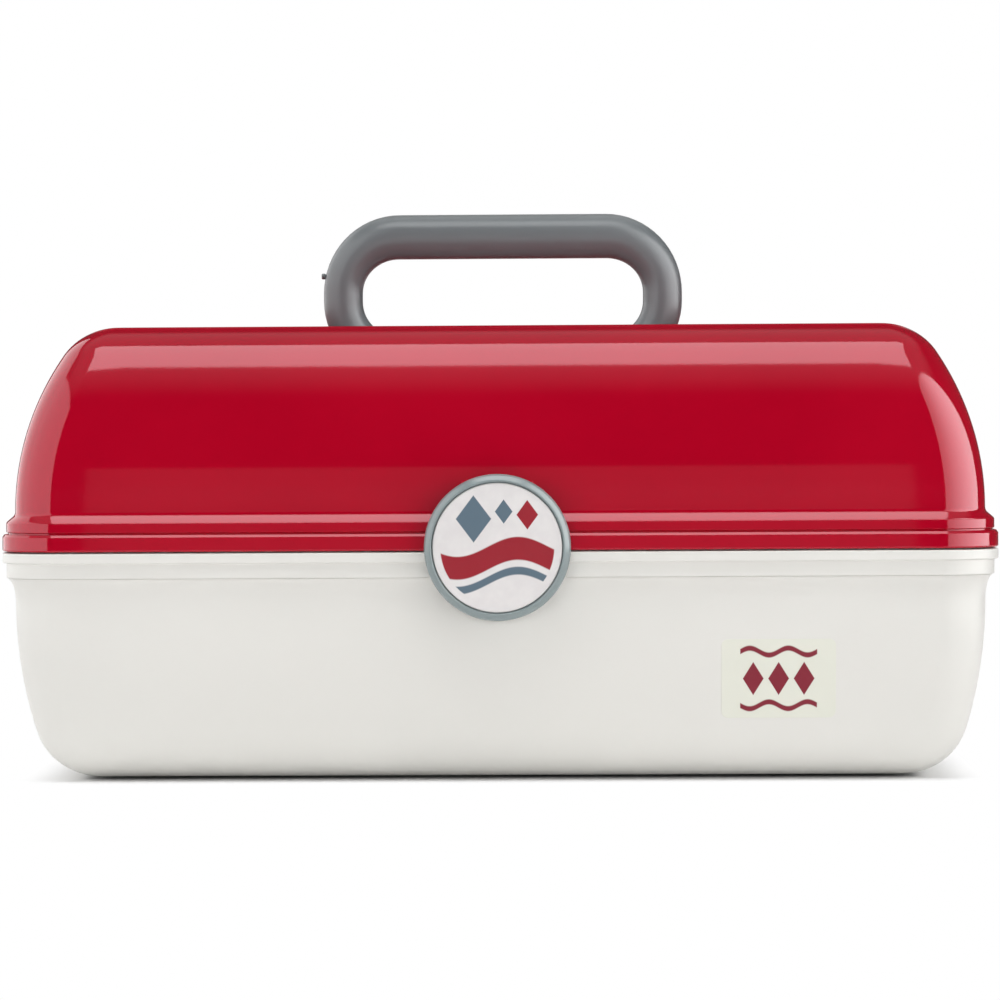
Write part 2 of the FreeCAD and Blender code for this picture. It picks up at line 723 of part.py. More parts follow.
# ---------------------------------------------------------------- hinge pins
hinge_pins = []
for end, side in SIDES:
    start = (sided(side, ear_start, pin_length), hinge_y, seam)
    hinge_pins.append(rod(f"hinge_pin_{end}", "X", cell("hinge_pin_radius"), start, pin_length))

# ---------------------------------------------------------------- handle mount and its screws
mount_top = lid_top - cell("mount_below_top")
mount_block = box(
    "mount_block", (-cell("mount_half"), -(cell("mount_depth") / 2), well_floor),
    (cell("mount_half") * 2, cell("mount_depth"), mount_top - well_floor),
)
mount_rounded = doc.addObject("Part::Fillet", "mount_rounded")
mount_rounded.Base = mount_block
doc.recompute()


def edges_of(item, wanted):
    """Numbers of the edges whose middle points pass a test."""
    numbers = []
    for number, edge in enumerate(item.Shape.Edges, start=1):
        if wanted(edge.BoundBox, item.Shape.BoundBox):
            numbers.append(number)
    return numbers


def on_top(edge, whole):
    return abs(edge.ZMin - whole.ZMax) < 1e-6


mount_edge = sheet.get("mount_edge")
mount_rounded.Edges = [(number, mount_edge, mount_edge) for number in edges_of(mount_block, on_top)]
stub_bore_length = cell("stub_length") + cell("mount_gap") + cell("bite")
stub_bores = []
for end, side in SIDES:
    x = sided(side, cell("mount_half") + cell("bite") - stub_bore_length, stub_bore_length)
    radius = cell("stub_radius") + running_fit
    stub_bores.append(rod(f"stub_bore_{end}", "X", radius, (x, 0, handle_z), stub_bore_length))
handle_mount = cut(
    "handle_mount", mount_rounded, *stub_bores,
    *mount_screw_bores("mount", cell("screw_radius") + running_fit, well_floor - cell("bite"),
                       cell("mount_screw_length") + cell("bite") * 2),
)


def screw(name, axis, head_start, shank_start, shank_length):
    head = rod(f"{name}_head", axis, cell("screw_head_radius"), head_start, cell("screw_head"))
    shank = rod(f"{name}_shank", axis, cell("screw_radius"), shank_start, shank_length)
    return fuse(name, head, shank)


mount_screw_list = []
for end, x in mount_screw_places():
    under = well_floor - skin
    mount_screw_list.append(screw(
        f"mount_screw_{end}", "Z", (x, 0, under - cell("screw_head")), (x, 0, under),
        skin + cell("mount_screw_length"),
    ))
mount_screws = doc.addObject("Part::Compound", "mount_screws")
mount_screws.Links = mount_screw_list

# ---------------------------------------------------------------- handle
# One bar: grip, shoulders, straight legs, curls that turn inwards to the pivot line, and stubs.
handle_body = new_body("handle")
leg_x = cell("handle_span") / 2
curl = cell("handle_curl")
shoulder = cell("handle_shoulder")
curl_x = leg_x - curl
bar_end = cell("mount_half") + cell("mount_gap")
path = new_sketch(handle_body, "handle_path", "XZ_Plane", (0, handle_z, 0))
vector = FreeCAD.Vector
START_LEG, START_CURL, START_SHOULDER, START_GRIP, START_END = 56.0, 15.0, 20.0, 41.5, 32.0
START_BEND = START_GRIP - START_SHOULDER
low_x = START_LEG - START_CURL
high_x = START_LEG - START_SHOULDER


def path_arc(centre_x, centre_z, radius, start, end):
    circle = Part.Circle(vector(centre_x, centre_z, 0), vector(0, 0, 1), radius)
    return Part.ArcOfCircle(circle, math.radians(start), math.radians(end))


for piece in (
    Part.LineSegment(vector(-START_END, 0, 0), vector(-low_x, 0, 0)),
    path_arc(-low_x, START_CURL, START_CURL, 180, 270),
    Part.LineSegment(vector(-START_LEG, START_CURL, 0), vector(-START_LEG, START_BEND, 0)),
    path_arc(-high_x, START_BEND, START_SHOULDER, 90, 180),
    Part.LineSegment(vector(-high_x, START_GRIP, 0), vector(high_x, START_GRIP, 0)),
    path_arc(high_x, START_BEND, START_SHOULDER, 0, 90),
    Part.LineSegment(vector(START_LEG, START_BEND, 0), vector(START_LEG, START_CURL, 0)),
    path_arc(low_x, START_CURL, START_CURL, 270, 360),
    Part.LineSegment(vector(low_x, 0, 0), vector(START_END, 0, 0)),
):
    path.addGeometry(piece)
for joint in (
    (0, 2, 1, 2), (1, 1, 2, 1), (2, 2, 3, 2), (3, 1, 4, 1),
    (4, 2, 5, 2), (5, 1, 6, 1), (6, 2, 7, 2), (7, 1, 8, 1),
):
    path.addConstraint(Sketcher.Constraint("Tangent", *joint))
for line in (0, 4, 8):
    path.addConstraint(Sketcher.Constraint("Horizontal", line))
path.addConstraint(Sketcher.Constraint("Vertical", 6))
path.addConstraint(Sketcher.Constraint("Symmetric", 0, 1, 8, 2, -2))
path.addConstraint(Sketcher.Constraint("Equal", 1, 7))
path.addConstraint(Sketcher.Constraint("Equal", 2, 6))
path.addConstraint(Sketcher.Constraint("Equal", 3, 5))
path.addConstraint(Sketcher.Constraint("PointOnObject", 8, 2, -1))
for label, constraint in (
    ("curl", Sketcher.Constraint("Radius", 7, START_CURL)),
    ("leg", Sketcher.Constraint("DistanceY", 6, 2, 6, 1, START_BEND - START_CURL)),
    ("shoulder", Sketcher.Constraint("Radius", 5, START_SHOULDER)),
    ("bar_end", Sketcher.Constraint("DistanceX", -1, 1, 8, 2, START_END)),
    ("curl_x", Sketcher.Constraint("DistanceX", -1, 1, 7, 3, low_x)),
    ("curl_x_left", Sketcher.Constraint("DistanceX", 1, 3, -1, 1, low_x)),
):
    path.renameConstraint(path.addConstraint(constraint), label)
bind(
    path, Constraints__curl=curl, Constraints__leg=cell("handle_leg"), Constraints__shoulder=shoulder,
    Constraints__bar_end=bar_end, Constraints__curl_x=curl_x, Constraints__curl_x_left=curl_x,
)


def round_sketch(body, name, radius, offset):
    sketch = new_sketch(body, name, "YZ_Plane", offset)
    sketch.addGeometry(Part.Circle(vector(0, 0, 0), vector(0, 0, 1), 5.0))
    sketch.addConstraint(Sketcher.Constraint("Coincident", 0, 3, -1, 1))
    sketch.renameConstraint(sketch.addConstraint(Sketcher.Constraint("Radius", 0, 5.0)), "radius")
    return bind(sketch, Constraints__radius=radius)


bar_section = round_sketch(handle_body, "bar_section", bar_radius, (0, handle_z, -bar_end))
bar = handle_body.newObject("PartDesign::AdditivePipe", "bar")
bar.Profile = bar_section
bar.Spine = path
for end, side in SIDES:
    stub_start = bar_end - cell("stub_length") if side > 0 else -bar_end
    centre = (0, handle_z, stub_start)
    section = round_sketch(handle_body, f"stub_section_{end}", cell("stub_radius"), centre)
    pad(handle_body, f"stub_{end}", section, cell("stub_length"))

# ---------------------------------------------------------------- latch
latch_outer = rod(
    "latch_outer", "Y", cell("latch_radius"), (0, -latch_front, latch_z), latch_front - latch_back,
)
latch_rounded = doc.addObject("Part::Fillet", "latch_rounded")
latch_rounded.Base = latch_outer
doc.recompute()
latch_edge = sheet.get("latch_edge")


def on_front(edge, whole):
    return abs(edge.YMax - whole.YMin) < 1e-6


latch_rounded.Edges = [(number, latch_edge, latch_edge) for number in edges_of(latch_outer, on_front)]
recess_depth = cell("disc_thickness") + cell("disc_recess")
plate_front = latch_front - recess_depth
plate_back = plate_front - cell("latch_web")
latch_recess = rod(
    "latch_recess", "Y", cell("disc_radius") + cell("disc_gap"),
    (0, -(latch_front + cell("bite")), latch_z), recess_depth + cell("bite"),
)
latch_hollow = rod(
    "latch_hollow", "Y", cell("latch_radius") - cell("latch_rim"),
    (0, -plate_back, latch_z), plate_back - latch_back + cell("bite"),
)
latch_dish = cut("latch_dish", latch_rounded, latch_recess, latch_hollow)
lug_eye = rod(
    "latch_lug_eye", "X", cell("latch_lug_radius"),
    (-cell("latch_lug_half"), -latch_pivot_y, latch_pivot_z), cell("latch_lug_half") * 2,
)
lug_web = box(
    "latch_lug_web",
    (-cell("latch_lug_half"), -(plate_back + cell("bite")), latch_pivot_z - cell("latch_lug_radius")),
    (cell("latch_lug_half") * 2, plate_back + cell("bite") - latch_pivot_y, cell("latch_lug_radius") * 2),
)
nose_top = latch_z - cell("tongue_drop")
nose = box(
    "latch_nose", (-cell("nose_half"), -(plate_back + cell("bite")), nose_top - cell("nose_height")),
    (cell("nose_half") * 2, plate_back + cell("bite") - rim_y - cell("nose_reach"), cell("nose_height")),
)
latch_solid = fuse("latch_solid", latch_dish, lug_eye, lug_web, nose)
latch_body = cut("latch_body", latch_solid, latch_bore("latch"))
disc_front = latch_front - cell("disc_recess")
latch_disc = rod("latch_disc", "Y", cell("disc_radius"), (0, -disc_front, latch_z), cell("disc_thickness"))
latch_pin = rod(
    "latch_pin", "X", cell("latch_pin_radius"), (-latch_ear_end, -latch_pivot_y, latch_pivot_z),
    latch_ear_end * 2,
)

# ---------------------------------------------------------------- mirror
mirror_front_y = cell("mirror_offset") - cell("mirror_fore")
mirror_mid_y = mirror_front_y + cell("mirror_depth") / 2
mirror_low = mirror_z - cell("mirror_thickness")
mirror_shell = new_body("mirror_shell")
frame_outline = rounded_rectangle(
    mirror_shell, "mirror_outline", cell("mirror_half"), cell("mirror_depth") / 2, cell("mirror_corner"),
    mirror_low, 0, mirror_mid_y,
)
pad(mirror_shell, "mirror_plate", frame_outline, cell("mirror_thickness"))
glass_half_x = cell("mirror_half") - cell("mirror_border")
glass_half_y = cell("mirror_depth") / 2 - cell("mirror_border")
glass_corner = cell("mirror_corner") - cell("mirror_border")
pocket(
    mirror_shell, "mirror_seat",
    rounded_rectangle(
        mirror_shell, "seat_outline", glass_half_x + cell("glass_gap"), glass_half_y + cell("glass_gap"),
        glass_corner + cell("glass_gap"), mirror_low, 0, mirror_mid_y,
    ),
    cell("glass_thickness") + cell("glass_gap"),
)


def mirror_ears():
    """Ears beside the posts, tied to the front edge of the frame."""
    for end, side in SIDES:
        width = cell("mirror_ear_width")
        radius = cell("mirror_ear_radius")
        x = sided(side, mirror_post_x + width + cell("fit_gap"), width)
        eye = rod(f"mirror_ear_eye_{end}", "X", radius, (x, -cell("mirror_fore"), mirror_z), width)
        web = box(
            f"mirror_ear_web_{end}", (x, -cell("mirror_fore"), mirror_z - radius),
            (width, cell("mirror_offset") + cell("bite"), radius),
        )
        yield fuse(f"mirror_ear_{end}", eye, web)


mirror_solid = fuse("mirror_solid", mirror_shell, *mirror_ears())
mirror_frame = cut("mirror_frame", mirror_solid, *mirror_bores("frame"))
glass_body = new_body("mirror_glass")
glass_outline = rounded_rectangle(
    glass_body, "glass_outline", glass_half_x, glass_half_y, glass_corner, mirror_low, 0, mirror_mid_y,
)
pad(glass_body, "glass_sheet", glass_outline, cell("glass_thickness"))
mirror_pins = []
for end, side in SIDES:
    x = sided(side, mirror_pin_start, mirror_pin_length)
    start = (x, -cell("mirror_fore"), mirror_z)
    mirror_pins.append(rod(f"mirror_pin_{end}", "X", cell("mirror_pin_radius"), start, mirror_pin_length))

# ---------------------------------------------------------------- tray with dividers
tray_top = seam - cell("tray_top_drop")
tray_low = tray_top - cell("tray_height")
tray_front = inner_wall_y - cell("tray_front_room")
tray_back = inner_wall_y - cell("tray_back_room")
tray_half_y = (tray_front + tray_back) / 2
tray_y = (tray_back - tray_front) / 2
tray_skin = cell("tray_skin")
tray_shell = new_body("tray_shell")
tray_outline = rounded_rectangle(
    tray_shell, "tray_outline", tray_half_x, tray_half_y, cell("tray_corner"), tray_low, 0, tray_y,
)
pad(tray_shell, "tray_block", tray_outline, cell("tray_height"))
tray_inline = rounded_rectangle(
    tray_shell, "tray_inline", tray_half_x - tray_skin, tray_half_y - tray_skin,
    cell("tray_corner") - tray_skin, tray_low + tray_skin, 0, tray_y,
)
pocket(tray_shell, "tray_hollow", tray_inline, cell("tray_height"))
divider_low = tray_low + tray_skin / 2
divider_height = cell("tray_height") - tray_skin / 2 - cell("divider_drop")
tray_in_x = tray_half_x - tray_skin / 2
lane = cell("lane_depth") - tray_front
lane_wall = box(
    "lane_wall", (-tray_in_x, lane, divider_low), (tray_in_x * 2, cell("divider"), divider_height),
)


def cross_walls():
    front_y = -tray_front + tray_skin / 2
    for number, place_x in enumerate((-1, 1)):
        x = tray_half_x * cell("front_cell_share") * place_x - cell("divider") / 2
        depth = lane - front_y + cell("divider") / 2
        size = (cell("divider"), depth, divider_height)
        yield box(f"front_wall_{number}", (x, front_y, divider_low), size)
    rear_y = lane + cell("divider") / 2
    for number, place_x in enumerate((-1, 0, 1)):
        x = tray_half_x * place_x / 2 - cell("divider") / 2
        depth = tray_back - tray_skin / 2 - rear_y
        size = (cell("divider"), depth, divider_height)
        yield box(f"rear_wall_{number}", (x, rear_y, divider_low), size)


def pivot_bores(owner, point, radius, low, length):
    for end, side in SIDES:
        x = sided(side, low, length)
        yield rod(f"{owner}_{end}", "X", radius, (x, *point), length)


tray_solid = fuse("tray_solid", tray_shell, lane_wall, *cross_walls())
bore_low = tray_half_x - tray_skin - cell("bite")
bore_length = tray_skin + cell("bite") * 2
tray = cut(
    "tray", tray_solid,
    *pivot_bores("tray_lid_bore", lid_pivot, cell("rivet_radius") + running_fit, bore_low, bore_length),
    *pivot_bores("tray_arm_bore", tray_pivot, cell("rivet_radius") + running_fit, bore_low, bore_length),
)

# ---------------------------------------------------------------- brackets that hang from the lid
tray_brackets = []
bracket_screw_parts = []
plate_y = lid_pivot[0] - cell("bracket_length") / 2
plate_z = seam + cell("bracket_rise") - cell("bracket_plate")
for end, side in SIDES:
    x = sided(side, bracket_x, cell("bracket_thickness"))
    thick = cell("bracket_thickness")
    eye = rod(f"bracket_eye_{end}", "X", cell("bracket_half"), (x, *lid_pivot), thick)
    leg = box(
        f"bracket_leg_{end}", (x, lid_pivot[0] - cell("bracket_half"), lid_pivot[1]),
        (thick, cell("bracket_half") * 2, plate_z + cell("bite") - lid_pivot[1]),
    )
    plate_size = (thick, cell("bracket_length"), cell("bracket_plate"))
    plate = box(f"bracket_plate_{end}", (x, plate_y, plate_z), plate_size)
    blank = fuse(f"bracket_blank_{end}", eye, leg, plate)
    bore_x = sided(side, bracket_x - cell("bite"), thick + cell("bite") * 2)
    holes = [
        rod(f"bracket_hole_{end}", "X", cell("rivet_radius") + running_fit, (bore_x, *lid_pivot),
            thick + cell("bite") * 2),
    ]
    for number, y in enumerate(bracket_screw_y):
        holes.append(rod(
            f"bracket_screw_hole_{end}_{number}", "X", cell("screw_radius") + running_fit,
            (bore_x, y, bracket_screw_z), thick + cell("bite") * 2,
        ))
        head_x = sided(side, bracket_x - cell("screw_head"), cell("screw_head"))
        shank_length = thick + inner_wall_x - bracket_out - cell("fit_gap")
        shank_x = sided(side, bracket_x, shank_length)
        head_start = (head_x, y, bracket_screw_z)
        shank_start = (shank_x, y, bracket_screw_z)
        name = f"bracket_screw_{end}_{number}"
        bracket_screw_parts.append(screw(name, "X", head_start, shank_start, shank_length))
    tray_brackets.append(cut(f"tray_bracket_{end}", blank, *holes))
bracket_screws = doc.addObject("Part::Compound", "bracket_screws")
bracket_screws.Links = bracket_screw_parts

# ---------------------------------------------------------------- arms between tub and tray
fore = cell("pivot_fore")
drop = cell("pivot_drop")
arm_length = Size(f"sqrt({fore} * {fore} + {drop} * {drop})")
arm_slope = Size(f"atan2({drop}; {fore})")
tray_arms = []
for end, side in SIDES:
    x = sided(side, arm_x, cell("arm_thickness"))
    thick = cell("arm_thickness")
    tub_eye = rod(f"arm_tub_eye_{end}", "X", cell("arm_eye"), (x, *tub_pivot), thick)
    tray_eye = rod(f"arm_tray_eye_{end}", "X", cell("arm_eye"), (x, *tray_pivot), thick)
    bar_half = cell("arm_eye")
    link = doc.addObject("Part::Box", f"arm_link_{end}")
    bind(link, Length=thick, Width=arm_length, Height=bar_half * 2)
    link.Placement = FreeCAD.Placement(vector(), FreeCAD.Rotation(vector(1, 0, 0), 0))
    bind(link, Placement__Rotation__Axis__x=Size(1), Placement__Rotation__Angle=arm_slope)
    rise = bar_half * Size(f"cos({arm_slope})")
    lean = bar_half * Size(f"sin({arm_slope})")
    place(link, x, tray_pivot[0] + lean, tray_pivot[1] - rise)
    blank = fuse(f"arm_blank_{end}", tub_eye, tray_eye, link)
    bore_x = sided(side, arm_x - cell("bite"), thick + cell("bite") * 2)
    bore_length = thick + cell("bite") * 2
    tub_hole_radius = cell("rivet_radius") + running_fit
    tray_hole_radius = cell("rivet_radius") + cell("open_pivot_gap")
    tub_hole = rod(f"arm_tub_hole_{end}", "X", tub_hole_radius, (bore_x, *tub_pivot), bore_length)
    tray_hole = rod(f"arm_tray_hole_{end}", "X", tray_hole_radius, (bore_x, *tray_pivot), bore_length)
    tray_arms.append(cut(f"tray_arm_{end}", blank, tub_hole, tray_hole))


# ---------------------------------------------------------------- pivot pins of the tray linkage
def headed_pin(name, side, point, shank_low, shank_high, head_low):
    shank_length = shank_high - shank_low
    shank_start = (sided(side, shank_low, shank_length), *point)
    shank = rod(f"{name}_shank", "X", cell("rivet_radius"), shank_start, shank_length)
    head_length = cell("rivet_head")
    head_start = (sided(side, head_low, head_length), *point)
    head = rod(f"{name}_head", "X", cell("rivet_head_radius"), head_start, head_length)
    return fuse(name, shank, head)


tub_pin_end = inner_wall_x - cell("fit_gap")
tray_pin_start = tray_half_x - tray_skin - cell("fit_gap")
tray_pin_head = arm_out + cell("fit_gap")
tray_pin_end = tray_pin_head + cell("rivet_head")
lid_pin_start = tray_pin_start - cell("rivet_head")
pivot_pins = []
for end, side in SIDES:
    pivot_pins.append(headed_pin(
        f"arm_pivot_pin_{end}", side, tub_pivot, arm_head_x, tub_pin_end, arm_head_x,
    ))
    pivot_pins.append(headed_pin(
        f"tray_arm_pin_{end}", side, tray_pivot, tray_pin_start, tray_pin_end, tray_pin_head,
    ))
    pivot_pins.append(headed_pin(
        f"tray_bracket_pin_{end}", side, lid_pivot, lid_pin_start, bracket_out, lid_pin_start,
    ))

# ---------------------------------------------------------------- check and export
SUBPARTS = [
    tub, front_label, lid, *hinge_pins, handle_body, handle_mount, mount_screws,
    latch_body, latch_disc, latch_pin, mirror_frame, glass_body, *mirror_pins,
    tray, *tray_brackets, bracket_screws, *tray_arms, *pivot_pins,
]

doc.recompute()
for item in doc.Objects:
    if "Invalid" in item.State or "Error" in item.State:
        raise RuntimeError(f"{item.Label} failed: {item.State}")

os.makedirs("parts", exist_ok=True)
for item in SUBPARTS:
    shape = item.Shape
    if shape.isNull() or not shape.isValid():
        raise RuntimeError(f"{item.Label} has no valid shape")
    shape.exportStep(f"parts/{item.Label}.step")
    low, high = shape.BoundBox.ZMin, shape.BoundBox.ZMax
    print(f"{item.Label}: {len(shape.Solids)} solid(s), {shape.Volume:.0f} mm3, z {low:.2f} to {high:.2f}")
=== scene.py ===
# %% [markdown]
# # A domed make-up case
# The case is a white tub with a glossy crimson lid. A carry handle stands on the lid, and a round
# latch closes the front. Inside are a mirror and a tray that rises with the lid.
# The frame brings every joint and solid in its true place, in metres, so each visible piece below
# is built straight onto those places. First come the measures and a few mesh helpers.

# %% Load the frame
import math

import bmesh
import bpy
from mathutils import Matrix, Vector


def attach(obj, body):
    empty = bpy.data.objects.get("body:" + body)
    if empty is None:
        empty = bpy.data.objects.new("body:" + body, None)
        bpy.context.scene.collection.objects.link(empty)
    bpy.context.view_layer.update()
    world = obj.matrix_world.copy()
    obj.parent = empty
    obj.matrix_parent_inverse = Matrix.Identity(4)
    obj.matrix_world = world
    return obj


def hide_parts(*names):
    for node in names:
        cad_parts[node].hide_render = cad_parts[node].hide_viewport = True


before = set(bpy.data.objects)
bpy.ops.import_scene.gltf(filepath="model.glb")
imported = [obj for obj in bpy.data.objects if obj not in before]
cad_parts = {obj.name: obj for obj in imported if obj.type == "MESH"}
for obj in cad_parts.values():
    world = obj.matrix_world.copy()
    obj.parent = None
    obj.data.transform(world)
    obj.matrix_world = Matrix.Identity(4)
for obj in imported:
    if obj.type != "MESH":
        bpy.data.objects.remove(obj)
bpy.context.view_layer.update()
print("nodes:", len(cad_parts))

# %% [markdown]
# ## Camera
# A small case is usually shot from a little over a metre, with a long lens at about two thirds of
# its height. The long lens keeps both ends nearly straight, and the low height shows the lid as a
# pure outline. The camera comes first, so that each new piece can be judged in the final view.

# %% Camera
CAMERA_PLACE = Vector((0.0300, -1.3980, 0.1190))
CAMERA_PITCH = -1.11
CAMERA_TURN = 1.28
CAMERA_ROLL = 0.32
LENS_LENGTH = 143.0
SENSOR_WIDTH = 36.0
NEAREST = 0.05

camera_data = bpy.data.cameras.new("camera")
camera_data.lens = LENS_LENGTH
camera_data.sensor_width = SENSOR_WIDTH
camera_data.clip_start = NEAREST
camera = bpy.data.objects.new("camera", camera_data)
camera.location = CAMERA_PLACE
camera.rotation_euler = (
    math.radians(90.0 + CAMERA_PITCH), math.radians(CAMERA_ROLL), math.radians(CAMERA_TURN),
)
bpy.context.collection.objects.link(camera)
bpy.context.scene.camera = camera
bpy.context.scene.view_settings.view_transform = "Standard"
print("camera at", tuple(round(v, 3) for v in camera.location))

# %% [markdown]
# ## Mesh helpers
# Moulded boxes are stacks of rounded rectangles. If every rectangle has the same number of points
# in the same order, neighbours join with plain quads, and any side profile becomes a clean skin.
# A sharp plastic edge doesn't exist, so a second helper rounds the corners of a profile.

# %% Profiles with eased corners
MM = 0.001
ARC_SHARE = 0.46
HOLD_REACH = 1.08


def eased(path, steps=4):
    """Round each corner (across, up, radius) of an open profile with a small arc.

    A holding point on each side of the arc keeps the flats next to it flat in the shading.
    """
    points = []
    for index, (across, up, radius) in enumerate(path):
        if radius <= 0.0 or index in (0, len(path) - 1):
            points.append((across, up))
            continue
        corner = Vector((across, up))
        back = Vector(path[index - 1][:2]) - corner
        ahead = Vector(path[index + 1][:2]) - corner
        half = back.angle(ahead) / 2.0
        reach = min(radius / math.tan(half), back.length * ARC_SHARE, ahead.length * ARC_SHARE)
        radius = reach * math.tan(half)
        middle = (back.normalized() + ahead.normalized()).normalized()
        centre = corner + middle * (radius / math.sin(half))
        first = corner + back.normalized() * reach - centre
        last = corner + ahead.normalized() * reach - centre
        sweep = first.angle_signed(last)
        points.append(tuple(corner + back.normalized() * reach * HOLD_REACH))
        for step in range(steps + 1):
            turn = -sweep * step / steps
            spoke = Vector((
                first.x * math.cos(turn) - first.y * math.sin(turn),
                first.x * math.sin(turn) + first.y * math.cos(turn),
            ))
            points.append(tuple(centre + spoke))
        points.append(tuple(corner + ahead.normalized() * reach * HOLD_REACH))
    return points


print("a square corner becomes", len(eased([(0, 0, 0), (1, 0, 0.2), (1, 1, 0)])), "points")

# %% Rings and skins
CORNER_STEPS = 14
LONG_STEPS = 26
SHORT_STEPS = 16
POLE = 0.05
BLOCK_SEGMENTS = 3


def rounded_ring(half_x, half_y, corner, up, mid_y=0.0):
    """Rounded rectangle in millimetres, anticlockwise seen from above."""
    flat_x = half_x - corner
    flat_y = half_y - corner
    ring = []
    sides = (
        ((-flat_x, -half_y), (flat_x, -half_y), LONG_STEPS, (flat_x, -flat_y), 270),
        ((half_x, -flat_y), (half_x, flat_y), SHORT_STEPS, (flat_x, flat_y), 0),
        ((flat_x, half_y), (-flat_x, half_y), LONG_STEPS, (-flat_x, flat_y), 90),
        ((-half_x, flat_y), (-half_x, -flat_y), SHORT_STEPS, (-flat_x, -flat_y), 180),
    )
    for start, end, steps, centre, first in sides:
        for step in range(steps):
            share = step / steps
            ring.append(tuple(a + (b - a) * share for a, b in zip(start, end)))
        for step in range(CORNER_STEPS):
            angle = math.radians(first + 90.0 * step / CORNER_STEPS)
            spoke = (corner * math.cos(angle), corner * math.sin(angle))
            ring.append(tuple(a + b for a, b in zip(centre, spoke)))
    return [Vector((x, y + mid_y, up)) * MM for x, y in ring]


def signed_volume(mesh):
    """Volume inside a closed mesh, below zero where its faces point inwards."""
    total = 0.0
    for face in mesh.polygons:
        points = [mesh.vertices[index].co for index in face.vertices]
        for second, third in zip(points[1:], points[2:]):
            total += points[0].dot(second.cross(third)) / 6.0
    return total


def linked(name, data):
    """New object at the origin that holds a mesh, a lamp or a curve."""
    piece = bpy.data.objects.new(name, data)
    bpy.context.collection.objects.link(piece)
    return piece


def mesh_of(name, body, sharp):
    """Plain mesh from an edited one, smooth but for edges sharper than an angle."""
    mesh = bpy.data.meshes.new(name)
    body.to_mesh(mesh)
    body.free()
    mesh.set_sharp_from_angle(angle=math.radians(sharp))
    return mesh


def settled(piece):
    """Plain mesh of an object as its modifiers leave it."""
    bpy.context.view_layer.update()
    seen = piece.evaluated_get(bpy.context.evaluated_depsgraph_get())
    return bpy.data.meshes.new_from_object(seen)


def new_piece(name, points, faces, sharp=35.0):
    """Closed mesh object at the origin, with its faces turned outwards."""
    mesh = bpy.data.meshes.new(name)
    mesh.from_pydata([tuple(point) for point in points], [], faces)
    mesh.validate()
    if signed_volume(mesh) < 0.0:
        mesh.flip_normals()
    mesh.shade_smooth()
    mesh.set_sharp_from_angle(angle=math.radians(sharp))
    return linked(name, mesh)


def skin_of(name, rings, sharp=35.0):
    """Join rings of equal length with quads and cap both ends."""
    count = len(rings[0])
    points = [point for ring in rings for point in ring]
    faces = []
    for row in range(len(rings) - 1):
        low, high = row * count, (row + 1) * count
        for step in range(count):
            after = (step + 1) % count
            faces.append((low + step, low + after, high + after, high + step))
    faces.append(tuple(reversed(range(count))))
    faces.append(tuple((len(rings) - 1) * count + step for step in range(count)))
    return new_piece(name, points, faces, sharp)


def lathed(name, profile, centre, axis, steps=96):
    """Turn a profile of (radius, place along the axis) in millimetres round X, Y or Z."""
    rings = []
    for radius, along in profile:
        ring = []
        for step in range(steps):
            angle = 2.0 * math.pi * step / steps
            side = radius * math.cos(angle)
            rise = radius * math.sin(angle)
            places = {"X": (along, side, rise), "Y": (side, along, rise), "Z": (side, rise, along)}
            ring.append((Vector(places[axis]) + Vector(centre)) * MM)
        rings.append(ring)
    return skin_of(name, rings)


def rod(name, radius, low, high, ease, centre=(0, 0, 0), steps=40, bore=POLE):
    """Bar along X between two places, with eased ends. A wider bore makes it a tube."""
    return lathed(name, eased([
        (bore, low, 0), (radius, low, ease), (radius, high, ease), (bore, high, 0),
    ]), centre, "X", steps)


def eased_block(name, low, high, radius):
    """Block between two corners in millimetres, with its edges rounded."""
    body = bmesh.new()
    bmesh.ops.create_cube(body, size=1.0)
    size = Vector(high) - Vector(low)
    middle = (Vector(high) + Vector(low)) / 2.0
    for point in body.verts:
        point.co = Vector(a * b for a, b in zip(point.co, size)) + middle
    bmesh.ops.bevel(
        body, geom=body.edges[:], offset=radius, segments=BLOCK_SEGMENTS, profile=0.5,
        affect="EDGES",
    )
    for point in body.verts:
        point.co *= MM
    for face in body.faces:
        face.smooth = True
    return linked(name, mesh_of(name, body, sharp=50.0))


def joined(name, pieces):
    """One object from several, with each part's own faces kept."""
    body = bmesh.new()
    for piece in pieces:
        body.from_mesh(piece.data)
    mesh = mesh_of(name, body, sharp=40.0)
    for piece in pieces:
        bpy.data.objects.remove(piece)
    return linked(name, mesh)


print("ring has", len(rounded_ring(160, 90, 15, 0)), "points")

# %% [markdown]
# ## Node helpers
# Shader maths reads best as Python. `Wire` wraps a socket, and each operator on it adds one Math
# node, so `(x - 0.2) * 3` in the script becomes two nodes in the tree. `Graph.node` adds any other
# node: its type, its settings, then the values or wires of its sockets. The same two serve the
# geometry trees further down.

